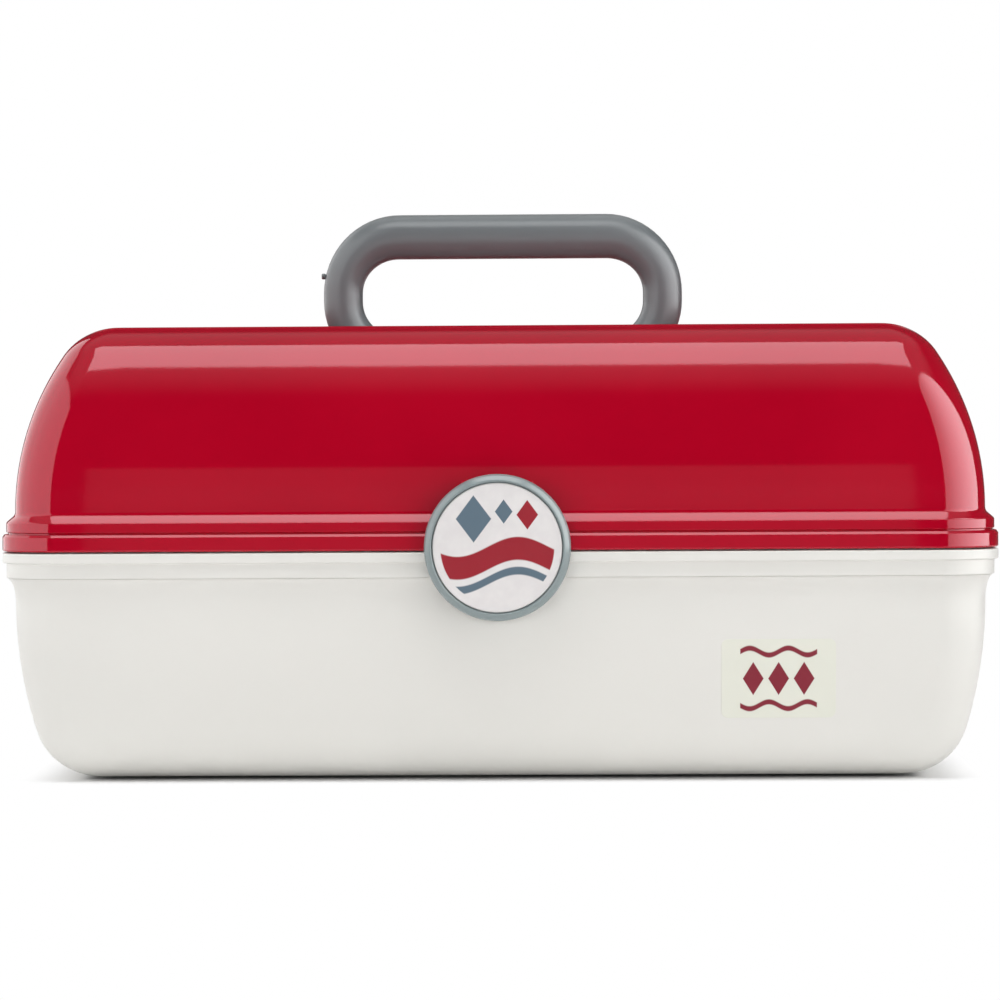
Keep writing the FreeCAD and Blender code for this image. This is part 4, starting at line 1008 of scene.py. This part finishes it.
def sweep_tree():
    """Tree that sweeps a circle along a curve, by the curve's own radius."""
    tree, graph, given = tree_with("sweep_a_bar", (
        ("Geometry", "Geometry"), ("Unit Radius", "Float"), ("Sides", "Int"),
        ("Finish", "Material"),
    ))
    circle = graph.wire("GeometryNodeCurvePrimitiveCircle", sockets={
        "Resolution": given["Sides"], "Radius": given["Unit Radius"],
    })
    sockets = {"Curve": given["Geometry"], "Profile Curve": circle, "Fill Caps": True}
    sweep = graph.node("GeometryNodeCurveToMesh", sockets=sockets)
    if "Scale" in sweep.inputs:
        radius = graph.wire("GeometryNodeInputRadius")
        tree.links.new(radius.socket, sweep.inputs["Scale"])
    end_tree(graph, Wire(graph, sweep.outputs[0]), given["Finish"])
    return tree


line = linked("handle_line", curve)
mesh = run_tree(line, sweep_tree(), {
    "Unit Radius": MM, "Sides": HANDLE_SIDES, "Finish": finishes["handle"],
})
bpy.data.objects.remove(line)
handle_points = [point.co.copy() for point in mesh.vertices]
handle_faces = [tuple(face.vertices) for face in mesh.polygons]
handle = new_piece("carry_handle", handle_points, handle_faces, sharp=40.0)
fit_out(handle, "handle_body", "handle", "handle_plastic", "handle")
print("handle:", len(handle.data.polygons), "faces, box", [round(v, 4) for v in handle.dimensions])

# %% Gate nub on the handle
NUB_UP = 27.6
nub = lathed("gate_nub", eased([
    (POLE, -63.75, 0), (1.0, -63.75, 0.75), (1.05, -62.6, 0.4), (0.75, -62.3, 0.2),
    (0.9, -61.4, 0), (POLE, -61.4, 0),
]), (0.0, 0.0, PIVOT_Z + NUB_UP), "X", steps=32)
fit_out(nub, "handle_body", "handle", "handle_plastic")
print("gate nub at", PIVOT_Z + NUB_UP, "mm")

# %% [markdown]
# ## Latch
# The latch is a round cap on a pin near its top. Its ring and plate are one turned profile, with a
# rounded outer edge and a thin groove round the printed disc. Behind it are the lug that holds
# the pin and the nose that hooks under the tub's catch.

# %% Latch cap
LATCH_Z = 78.4
LATCH_FRONT = -105.8
LATCH_BACK = -98.3
LATCH_STEPS = 144
LATCH_PIN = (-95.9, 97.9)
PLATE_FRONT = LATCH_FRONT + 1.8
PLATE_BACK = PLATE_FRONT + 3.0
EYE_BORE = 1.05
EYE_RADIUS = 2.1

ring = lathed("latch_ring", eased([
    (POLE, PLATE_FRONT, 0), (21.62, PLATE_FRONT, 0.2), (21.55, LATCH_FRONT + 0.25, 0.1),
    (21.75, LATCH_FRONT, 0.2), (22.15, LATCH_FRONT, 0.25), (23.45, LATCH_FRONT + 0.85, 0.5),
    (24.0, LATCH_FRONT + 2.0, 0.8), (24.0, LATCH_BACK, 0.35), (21.7, LATCH_BACK, 0.2),
    (21.7, PLATE_BACK, 0.3), (POLE, PLATE_BACK, 0),
], steps=6), (0, 0, LATCH_Z), "Y", LATCH_STEPS)
lug = rod("latch_lug", EYE_RADIUS, -8.6, 8.6, 0.3, (0, *LATCH_PIN), bore=EYE_BORE)
web = eased_block("latch_web", (-8.5, PLATE_BACK - 0.6, 96.2), (8.5, -97.1, 99.6), 0.4)
nose = eased_block("latch_nose", (-7.0, PLATE_BACK - 0.6, 58.9), (7.0, -98.6, 61.9), 0.5)
latch_ring = joined("latch_cap", [ring, lug, web, nose])
fit_out(latch_ring, "latch", "latch", "latch_plastic", "latch_body")
print("latch cap:", len(latch_ring.data.polygons), "faces")

# %% Latch disc, pin and catch
DISC_EDGE = 21.15
DISC_FRONT = LATCH_FRONT + 0.4
DISC_BACK = PLATE_FRONT - 0.02

disc = lathed("latch_disc_printed", eased([
    (POLE, DISC_FRONT, 0), (10.0, DISC_FRONT + 0.02, 0), (DISC_EDGE, DISC_FRONT + 0.1, 0.35),
    (DISC_EDGE, DISC_BACK, 0.1), (POLE, DISC_BACK, 0),
]), (0, 0, LATCH_Z), "Y", LATCH_STEPS)
fit_out(disc, "latch", "disc", "disc_plastic", "latch_disc")
pin = rod("latch_pin_steel", 1.0, -11.9, 11.9, 0.2, (0, *LATCH_PIN), 32)
fit_out(pin, "lid_body", "steel", "steel", "latch_pin")
catch = eased_block("tub_catch", (-9.0, -100.6, 62.4), (9.0, -92.5, 66.9), 0.6)
fit_out(catch, "tub_body", "tub", "tub_plastic")
print("latch pieces ready")

# %% Latch ears on the lid
EAR_X = 10.4
EAR_HALF = 1.5
ears = []
for side, sign in SIDES:
    middle = EAR_X * sign
    eye = rod(
        f"ear_eye_{side}", EYE_RADIUS, -EAR_HALF, EAR_HALF, 0.3, (middle, *LATCH_PIN),
        bore=EYE_BORE,
    )
    low, high = (middle - 1.45, -94.7, 95.9), (middle + 1.45, -91.4, 99.9)
    ears += [eye, eased_block(f"ear_web_{side}", low, high, 0.35)]
latch_ears = joined("latch_ears", ears)
fit_out(latch_ears, "lid_body", "lid", "lid_plastic")
print("latch ears:", len(latch_ears.data.polygons), "faces")

# %% [markdown]
# ## Label
# The label is a thin film that follows the bulge of the tub. Rings of a rounded rectangle shrink
# towards its middle, and each point is pushed onto the wall's arc, so the film bends with it.

# %% Label film
LABEL_HALF_X = 18.8
LABEL_HALF_Z = 13.1
LABEL_CORNER = 2.2
LABEL_BACK = 0.02
LABEL_FRONT = 0.18


def wall_face(up):
    """Y of the tub's front wall at a height in millimetres."""
    return -(WALL_Y - (TUB_BELLY - math.sqrt(TUB_BELLY ** 2 - (TUB_WALL - up) ** 2)))


def label_ring(inset, lift):
    """Ring of the label, lifted off the wall by a little."""
    corner = max(0.4, LABEL_CORNER - inset)
    points = []
    for point in rounded_ring(LABEL_HALF_X - inset, LABEL_HALF_Z - inset, corner, 0.0):
        up = LABEL_UP + point.y / MM
        points.append(Vector((LABEL_X * MM + point.x, (wall_face(up) - lift) * MM, up * MM)))
    return points


rows = [label_ring(inset, LABEL_BACK) for inset in (12.0, 6.0, 0.0)] + [label_ring(0.0, 0.15)]
rows += [label_ring(inset, LABEL_FRONT) for inset in (0.05, 1.0, 3.0, 5.0, 7.0, 9.0, 11.0, 12.0)]
label = skin_of("label_film", rows, sharp=25.0)
fit_out(label, "tub_body", "label", "label_film", "front_label")
print("label at", [round(v, 4) for v in label.data.vertices[0].co])

# %% [markdown]
# ## Tray
# The tray is a thin-walled box with drafted walls and an eased rim, and low dividers slot into it.
# On each side an arm from the tub and a bracket from the lid carry it, so it swings up and back as
# the lid opens. The shell is one more stack of rings, and the dividers are eased blocks.

# %% Tray shell
TRAY_X, TRAY_Y, TRAY_MID = 147.6, 74.25, -12.25
TRAY_LOW, TRAY_HIGH, TRAY_WALL = 47.0, 74.0, 2.0
TRAY_DRAFT_UP = 60.0
TRAY_FLOOR = TRAY_LOW + TRAY_WALL


def tray_ring(inset, up):
    """Ring of the tray at an inset from its outer wall."""
    corner = max(1.0, 10.0 - inset)
    return rounded_ring(TRAY_X - inset, TRAY_Y - inset, corner, up, TRAY_MID)


rows = eased([
    (12.0, TRAY_LOW + 0.6, 0), (7.0, TRAY_LOW + 0.6, 0.4), (6.4, TRAY_LOW, 0.4),
    (0.9, TRAY_LOW, 1.4), (0.0, TRAY_DRAFT_UP, 0), (0.0, TRAY_HIGH, 0.8),
    (TRAY_WALL, TRAY_HIGH, 0.8), (TRAY_WALL + 0.3, TRAY_DRAFT_UP, 0),
    (TRAY_WALL + 0.8, TRAY_FLOOR, 1.6), (12.0, TRAY_FLOOR, 0),
])
tray = skin_of("tray_shell", [tray_ring(inset, up) for inset, up in rows])
fit_out(tray, "tray_body", "tray", "tray_plastic", "tray")
print("tray:", len(tray.data.polygons), "faces")

# %% Tray dividers
DIVIDER_LOW, DIVIDER_HIGH, DIVIDER_HALF = 48.0, 71.0, 0.8
LANE_Y = -18.0

dividers = (
    ("lane_part", "tray_lane_divider", (-145.4, -DIVIDER_HALF), (145.4, DIVIDER_HALF),
     (1, 1), 1.0, LANE_Y),
    ("front_part", "tray_front_dividers", (-DIVIDER_HALF, -84.4), (DIVIDER_HALF, LANE_Y),
     (2, 1), 121.0, 0.0),
    ("rear_part", "tray_rear_dividers", (-DIVIDER_HALF, LANE_Y), (DIVIDER_HALF, 60.0),
     (3, 1), 73.8, 0.0),
)
for part_name, name, low, high, count, pitch, middle in dividers:
    part = eased_block(part_name, (*low, DIVIDER_LOW), (*high, DIVIDER_HIGH), 0.5)
    wall = copies(name, part, count, (pitch, 1.0), (0.0, middle, 0.0), finishes["tray"])
    fit_out(wall, "tray_body", "tray", "tray_plastic")

# %% [markdown]
# ## Screws and pivot pins
# Small machine screws hold the handle mount and the arm brackets. Each head is a low dome with a
# cross recess, which is a short boolean on one part before the copies are made. The pivot pins of
# the arms are riveted: a shank with a domed head.

# %% Screw and pin makers
RECESS_HALF = 0.32
RECESS_REACH = 0.58
RECESS_DEPTH = 0.85
DOWN = ((1, 0, 0), (0, -1, 0), (0, 0, -1))
TO_LEFT = ((0, 0, -1), (0, 1, 0), (1, 0, 0))
TO_RIGHT = ((0, 0, 1), (0, 1, 0), (-1, 0, 0))


def turned_to(piece, rows):
    """Turn the points of a part by three rows of whole numbers."""
    for point in piece.data.vertices:
        point.co = Vector(sum(a * b for a, b in zip(row, point.co)) for row in rows)
    if signed_volume(piece.data) < 0.0:
        piece.data.flip_normals()
    return piece


def screw(name, head, shank, height, length):
    """Pan-head screw at the origin, head up, with a cross recess and a shank that tapers."""
    body = lathed(name, eased([
        (POLE, -length, 0), (shank * 0.35, -length, 0.2), (shank, -length + 1.4, 0.2),
        (shank, -0.02, 0), (head - 0.15, -0.02, 0.15), (head, 0.35, 0.25),
        (head * 0.86, height, 0.7), (POLE, height, 0),
    ]), (0, 0, 0), "Z", steps=48)
    reach = head * RECESS_REACH
    cutters = []
    for letter, half_x, half_y in (("a", reach, RECESS_HALF), ("b", RECESS_HALF, reach)):
        low, high = (-half_x, -half_y, height - RECESS_DEPTH), (half_x, half_y, height + 1.0)
        cutters.append(eased_block(f"{name}_slot_{letter}", low, high, 0.12))
    for cutter in cutters:
        cut = body.modifiers.new("recess", "BOOLEAN")
        cut.operation = "DIFFERENCE"
        cut.solver = "EXACT"
        cut.object = cutter
    mesh = settled(body)
    for part in (body, *cutters):
        bpy.data.objects.remove(part)
    mesh.set_sharp_from_angle(angle=math.radians(35.0))
    return linked(name, mesh)


def pivot_pin(name, shank, head, head_high, length):
    """Rivet at the origin, head up on its flat seat."""
    return lathed(name, eased([
        (POLE, -length, 0), (shank, -length, 0.25), (shank, 0.0, 0), (head, 0.0, 0.15),
        (head, head_high * 0.45, 0.3), (head * 0.62, head_high, 0.5), (POLE, head_high, 0),
    ]), (0, 0, 0), "Z", steps=48)


print("screw and pin makers ready")

# %% Screws in the mount and the brackets
SCREW_HEAD, SCREW_SHANK, SCREW_HIGH = 3.0, 1.25, 1.6

part = turned_to(screw("mount_screw_part", SCREW_HEAD, SCREW_SHANK, SCREW_HIGH, 11.4), DOWN)
screws = copies(
    "mount_screws_steel", part, (2, 1), (28.0, 1.0), (0, 0, 131.5), finishes["steel"],
)
fit_out(screws, "lid_body", "steel", "steel", "mount_screws")

for side, sign, rows in (("left", -1, TO_RIGHT), ("right", 1, TO_LEFT)):
    part = screw(f"bracket_screw_{side}", SCREW_HEAD, SCREW_SHANK, SCREW_HIGH, 10.1)
    pair = copies(
        f"bracket_screws_{side}", turned_to(part, rows), (1, 2), (1.0, 16.0),
        (148.4 * sign, 50.0, 90.5), finishes["steel"],
    )
    fit_out(pair, "lid_body", "steel", "steel", "bracket_screws")

# %% Pivot pins of the tray arms
RIVET_SHANK, RIVET_HEAD, RIVET_HIGH = 2.0, 3.4, 0.9

for side, sign, inward, outward in (
    ("left", -1, TO_RIGHT, TO_LEFT), ("right", 1, TO_LEFT, TO_RIGHT),
):
    pins = (
        ("arm_pivot_pin", "tub_body", inward, 151.8, (51.8, 63.0), 6.7),
        ("tray_arm_pin", "tray_body", outward, 154.9, (0.0, 54.0), 9.6),
        ("tray_bracket_pin", "lid_body", inward, 145.3, (50.0, 68.0), 5.3),
    )
    for name, body, rows, seat, (y, z), length in pins:
        part = pivot_pin(f"{name}_{side}_part", RIVET_SHANK, RIVET_HEAD, RIVET_HIGH, length)
        one = copies(
            f"{name}_{side}_rivet", turned_to(part, rows), (1, 1), (1.0, 1.0),
            (seat * sign, y, z), finishes["pin"],
        )
        fit_out(one, body, "pin", "pin_plastic", f"{name}_{side}")

# %% [markdown]
# ## Moulded small parts
# The handle mount, the mirror frame and glass, the brackets and the arms are already the right
# shape in the CAD. Only their edges are too crisp, so each gets a copy of its mesh with the flat
# faces merged and about a quarter of a millimetre of bevel.

# %% Eased copies of CAD parts
MERGE_REACH = 0.000001
BEVEL_ANGLE = 30.0
BEVEL_SEGMENTS = 2


def eased_copy(node, name, width):
    """Copy of a CAD node with merged flats and a small bevel, whose width is in millimetres."""
    body = bmesh.new()
    body.from_mesh(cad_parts[node].data)
    bmesh.ops.remove_doubles(body, verts=body.verts[:], dist=MERGE_REACH)
    bmesh.ops.dissolve_limit(
        body, angle_limit=math.radians(1.0), verts=body.verts[:], edges=body.edges[:],
        delimit={"NORMAL"},
    )
    mesh = bpy.data.meshes.new(name)
    body.to_mesh(mesh)
    body.free()
    piece = linked(name, mesh)
    bevel = piece.modifiers.new("soft_edges", "BEVEL")
    bevel.width = width * MM
    bevel.segments = BEVEL_SEGMENTS
    bevel.limit_method = "ANGLE"
    bevel.angle_limit = math.radians(BEVEL_ANGLE)
    done = settled(piece)
    piece.modifiers.clear()
    piece.data = done
    done.shade_smooth()
    done.set_sharp_from_angle(angle=math.radians(32.0))
    print(f"{name}: {len(done.polygons)} faces, bevel {width} mm")
    return piece


small_parts = (
    ("handle_mount", "lid_body", "handle", "handle_plastic", 0.30),
    ("mirror_frame", "mirror", "lid_inner", "lid_plastic_inner", 0.30),
    ("mirror_glass", "mirror", "mirror", "mirror", 0.35),
    ("tray_bracket_left", "lid_body", "link", "linkage_plastic", 0.20),
    ("tray_bracket_right", "lid_body", "link", "linkage_plastic", 0.20),
    ("tray_arm_left", "arm_left", "link", "linkage_plastic", 0.20),
    ("tray_arm_right", "arm_right", "link", "linkage_plastic", 0.20),
)
for node, body, finish, slot_name, width in small_parts:
    part = eased_copy(node, node + "_eased", width)
    fit_out(part, body, finish, slot_name, node)

# %% Mirror pins
MIRROR_PIN_HALF = 4.45
for side, sign in SIDES:
    pin = rod(
        f"mirror_pin_{side}_steel", 1.25, -MIRROR_PIN_HALF, MIRROR_PIN_HALF, 0.2,
        (82.15 * sign, -58.0, 126.5), 32,
    )
    fit_out(pin, "lid_body", "steel", "steel", f"mirror_pin_{side}")
print("small parts ready")

# %% [markdown]
# ## Bosses and posts
# Screws and pins need meat behind them. Short round bosses stand on the walls, and two posts hang
# from the lid's roof for the mirror's pins. Each boss runs a little into its wall, so no gap shows.

# %% Bosses on the walls, posts under the roof
BOSS_RADIUS = 4.2
BOSS_END = 159.3


def boss(name, start, sign):
    """Boss along X from its face out into the side wall."""
    low, high = sorted((start * sign, BOSS_END * sign))
    return rod(name, BOSS_RADIUS, low, high, 0.35)


for side, sign in SIDES:
    part = boss(f"arm_boss_{side}_part", 154.9, sign)
    one = copies(
        f"arm_boss_{side}", part, (1, 1), (1.0, 1.0), (0, 51.8, 63.0), finishes["tub"],
    )
    fit_out(one, "tub_body", "tub", "tub_plastic")
    part = boss(f"bracket_boss_{side}_part", 150.6, sign)
    pair = copies(
        f"bracket_bosses_{side}", part, (1, 2), (1.0, 16.0), (0, 50.0, 90.5),
        finishes["lid_inner"],
    )
    fit_out(pair, "lid_body", "lid_inner", "lid_plastic_inner")
post = eased_block("post_part", (-2.0, -3.2, 123.6), (2.0, 3.2, 150.4), 0.5)
posts = copies("mirror_posts", post, (2, 1), (160.0, 1.0), (0, -58.0, 0), finishes["lid_inner"])
fit_out(posts, "lid_body", "lid_inner", "lid_plastic_inner")

# %% [markdown]
# ## Floor and light
# The case stands on a pale floor. The camera sees the floor as plain white away from the case and
# as it is lit close by, so the soft shadow and the contact line stay. Under the case the floor's
# colour is painted darker. This painted shade keeps stray light off the line where tub and floor
# meet.

# %% Floor
FLOOR_X = (-1.6, 1.6)
FLOOR_Y = (-1.35, 2.6)
UNDER_X, UNDER_Y = 0.140, 0.068
UNDER_EDGE = (0.002, -0.004)
PAINTED_SHADE_TONE = (0.40, 0.40, 0.40, 1.0)
WHITE_AWAY = (0.004, 0.022)


def ray_masks(graph):
    """1 for rays from the camera or through glass, and 1 for glossy rays."""
    path = graph.node("ShaderNodeLightPath")
    camera_ray, through, glossy = (
        Wire(graph, path.outputs[f"Is {kind} Ray"]) for kind in ("Camera", "Transmission", "Glossy")
    )
    return camera_ray.math("MAXIMUM", through), glossy


floor_mesh = bpy.data.meshes.new("floor")
corners = [(x, y, 0.0) for x, y in (
    (FLOOR_X[0], FLOOR_Y[0]), (FLOOR_X[1], FLOOR_Y[0]), (FLOOR_X[1], FLOOR_Y[1]),
    (FLOOR_X[0], FLOOR_Y[1]),
)]
floor_mesh.from_pydata(corners, [], [(0, 1, 2, 3)])
floor = linked("floor", floor_mesh)
sweep, graph, shader = surface("floor_sweep")
where, along_x, along_y, _ = graph.place()
dust = graph.noise(where, 30.0, 4.0)
pale = graph.blend(dust, (0.92, 0.92, 0.92, 1.0), (0.94, 0.94, 0.94, 1.0))
# Painted shade: the floor's colour turns darker under the case's footprint.
shade_under_x = abs(along_x).fade(UNDER_X + UNDER_EDGE[0], UNDER_X + UNDER_EDGE[1])
shade_under_y = abs(along_y).fade(UNDER_Y + UNDER_EDGE[0], UNDER_Y + UNDER_EDGE[1])
feed(graph, shader, Base_Color=graph.blend(shade_under_x * shade_under_y, pale, PAINTED_SHADE_TONE))
feed(graph, shader, Roughness=dust * 0.1 + 0.85)
out_x = (abs(along_x) - UNDER_X).math("MAXIMUM", 0.0)
out_y = (abs(along_y) - UNDER_Y).math("MAXIMUM", 0.0)
away = (out_x * out_x + out_y * out_y) ** 0.5
glow = graph.node("ShaderNodeEmission", sockets={"Color": (1.0, 1.0, 1.0, 1.0), "Strength": 1.0})
graph.layer(ray_masks(graph)[0] * away.fade(*WHITE_AWAY), shader, glow)
floor_mesh.materials.append(sweep)
print("floor spans", [round(v, 2) for v in floor.dimensions])

# %% [markdown]
# Light and reflections are made apart, as a studio does with flags. Soft boxes light the surfaces
# from above, both sides, behind and low in front, and gloss doesn't see them. Glowing cards are
# seen by gloss alone: one overhead draws the long streak on the lid's shoulder, and three that
# stand on the floor draw the pale ends. Their outlines are the outlines of those highlights.

# %% Soft boxes
def softbox(name, centre, aim, width, height, radiance):
    """Rectangular area light that faces a point, unseen by gloss, with a given radiance."""
    lamp = bpy.data.lights.new(name, "AREA")
    lamp.shape = "RECTANGLE"
    lamp.size = width
    lamp.size_y = height
    lamp.energy = radiance * math.pi * width * height
    box = linked(name, lamp)
    box.location = centre
    box.rotation_euler = (Vector(aim) - Vector(centre)).to_track_quat("-Z", "Y").to_euler()
    box.visible_glossy = False


SOFT_BOXES = {
    "overhead_fill": ((0.0, -0.42, 1.15), (0.0, -0.42, 0.0), 0.75, 0.50, 3.5),
    "top_fill": ((0.0, -0.70, 1.40), (0.0, -0.35, 0.0), 1.6, 0.9, 0.7),
    "left_fill": ((-1.25, 0.00, 0.62), (0.0, -0.10, 0.20), 2.0, 1.4, 1.45),
    "right_fill": ((1.15, -0.55, 0.58), (0.0, -0.40, 0.25), 2.2, 1.15, 1.4),
    "back_fill": ((0.0, 1.35, 0.80), (0.0, 0.10, 0.10), 2.0, 1.0, 1.3),
    "low_front_fill": ((0.0, -1.30, 0.20), (0.0, 0.0, 0.04), 2.0, 0.12, 6.8),
}
for name, row in SOFT_BOXES.items():
    softbox(name, *row)
print("soft boxes:", ", ".join(SOFT_BOXES))

# %% Glowing cards
def oblong(half_width, low, high, corner, steps=8):
    """Outline of a rectangle with rounded upper corners, as (across, up)."""
    points = [(-half_width, low), (half_width, low)]
    for side in (1.0, -1.0):
        for step in range(steps + 1):
            angle = math.pi / 2.0 * (step if side > 0 else steps - step) / steps
            points.append((
                side * (half_width - corner + corner * math.cos(angle)),
                high - corner + corner * math.sin(angle),
            ))
    return points


def card(name, centre, facing, outline, level):
    """Glowing card with a given outline that only gloss sees. The level gives its brightness."""
    mesh = bpy.data.meshes.new(name)
    points = [(across, up, 0.0) for across, up in outline]
    mesh.from_pydata(points, [], [tuple(range(len(points)))])
    lit, graph = bare_material(name)
    across = graph.place()[1]
    light = graph.wire("ShaderNodeEmission", sockets={
        "Color": (1.0, 1.0, 1.0, 1.0), "Strength": level(across),
    })
    out = graph.node("ShaderNodeOutputMaterial")
    graph.tree.links.new(light.socket, out.inputs["Surface"])
    mesh.materials.append(lit)
    board = linked(name, mesh)
    board.location = centre
    board.rotation_euler = facing
    board.visible_camera = False
    board.visible_diffuse = False
    board.visible_shadow = False


def even(strength):
    """The same brightness all over."""
    return lambda across: strength


def hot_middle(across):
    """Dim towards the camera, brightest past the middle, dimmer again at the back."""
    return across.fade(-1.20, 0.35) * (across.fade(1.60, 0.40) * 0.55 + 0.45) * 3.9 + 2.1


def standing(degrees):
    """Turn of a card that stands on the floor."""
    return (math.pi / 2.0, 0.0, math.radians(degrees))


LEAF = [
    (-1.22, 0.0), (1.08, 0.0), (1.14, 0.30), (1.15, 0.55), (1.08, 0.75), (0.95, 0.92),
    (0.60, 1.22), (0.30, 1.46), (0.0, 1.66), (-0.30, 1.82), (-0.70, 1.95), (-1.02, 1.98),
    (-1.16, 1.92), (-1.22, 1.80),
]
CARDS = {
    "overhead_card": (
        (-0.02, -0.395, 1.15), (math.pi, 0.0, 0.0), oblong(0.40, -0.295, 0.295, 0.10), even(4.2),
    ),
    "left_card": (
        (-1.107, -0.533, 0.0), standing(-65.0), oblong(1.00, 0.0, 1.46, 0.06), even(2.0),
    ),
    "left_back_card": (
        (-1.288, 0.438, 0.0), standing(-115.0), oblong(1.00, 0.0, 1.56, 0.06), even(1.8),
    ),
    "right_card": ((1.126, -0.512, 0.0), standing(62.0), LEAF, hot_middle),
}
for name, row in CARDS.items():
    card(name, *row)
print("cards:", ", ".join(CARDS))

# %% [markdown]
# Rays from the camera and through glass see a white world. Matt surfaces get a little light from
# all round. Gloss sees a dim room with a paler ceiling, a low band in front and a patch behind, so
# that the crimson keeps its depth.

# %% World
DARKEST = 0.015
CEILING_LEVEL = 0.48
BAND_LEVEL = 0.25
BEHIND_LEVELS = (0.75, 0.06)
SOFT_LEVEL = 0.08

world = bpy.data.worlds.new("studio")
bpy.context.scene.world = world
world.use_nodes = True
world.node_tree.nodes.clear()
graph = Graph(world.node_tree)
way_x, way_y, way_z = graph.parts(graph.wire("ShaderNodeTexCoord", output="Generated"))
middle_patch = abs(way_x).fade(0.24, 0.14) * way_z.fade(0.55, 0.15)
behind = way_y.fade(-0.10, 0.30) * (middle_patch * BEHIND_LEVELS[0] + BEHIND_LEVELS[1])
ceiling = way_z.fade(0.70, 0.87) * CEILING_LEVEL
table = way_z.fade(-0.060, -0.050) * way_z.fade(-0.016, -0.022)
band = way_z.fade(0.004, 0.010) * way_z.fade(0.282, 0.268) + table
band = band * way_x.fade(-0.137, -0.130) * way_x.fade(0.096, 0.090) * BAND_LEVEL
gloss_level = behind.math("MAXIMUM", ceiling + band * way_y.fade(0.0, -0.1) + DARKEST)
clear_ray, glossy_ray = ray_masks(graph)
level = clear_ray.math("MAXIMUM", glossy_ray * gloss_level + (1.0 - glossy_ray) * SOFT_LEVEL)
light = graph.wire("ShaderNodeBackground", sockets={
    "Color": (1.0, 1.0, 1.0, 1.0), "Strength": level,
})
out = graph.node("ShaderNodeOutputWorld")
graph.tree.links.new(light.socket, out.inputs["Surface"])
print("world nodes:", len(world.node_tree.nodes))
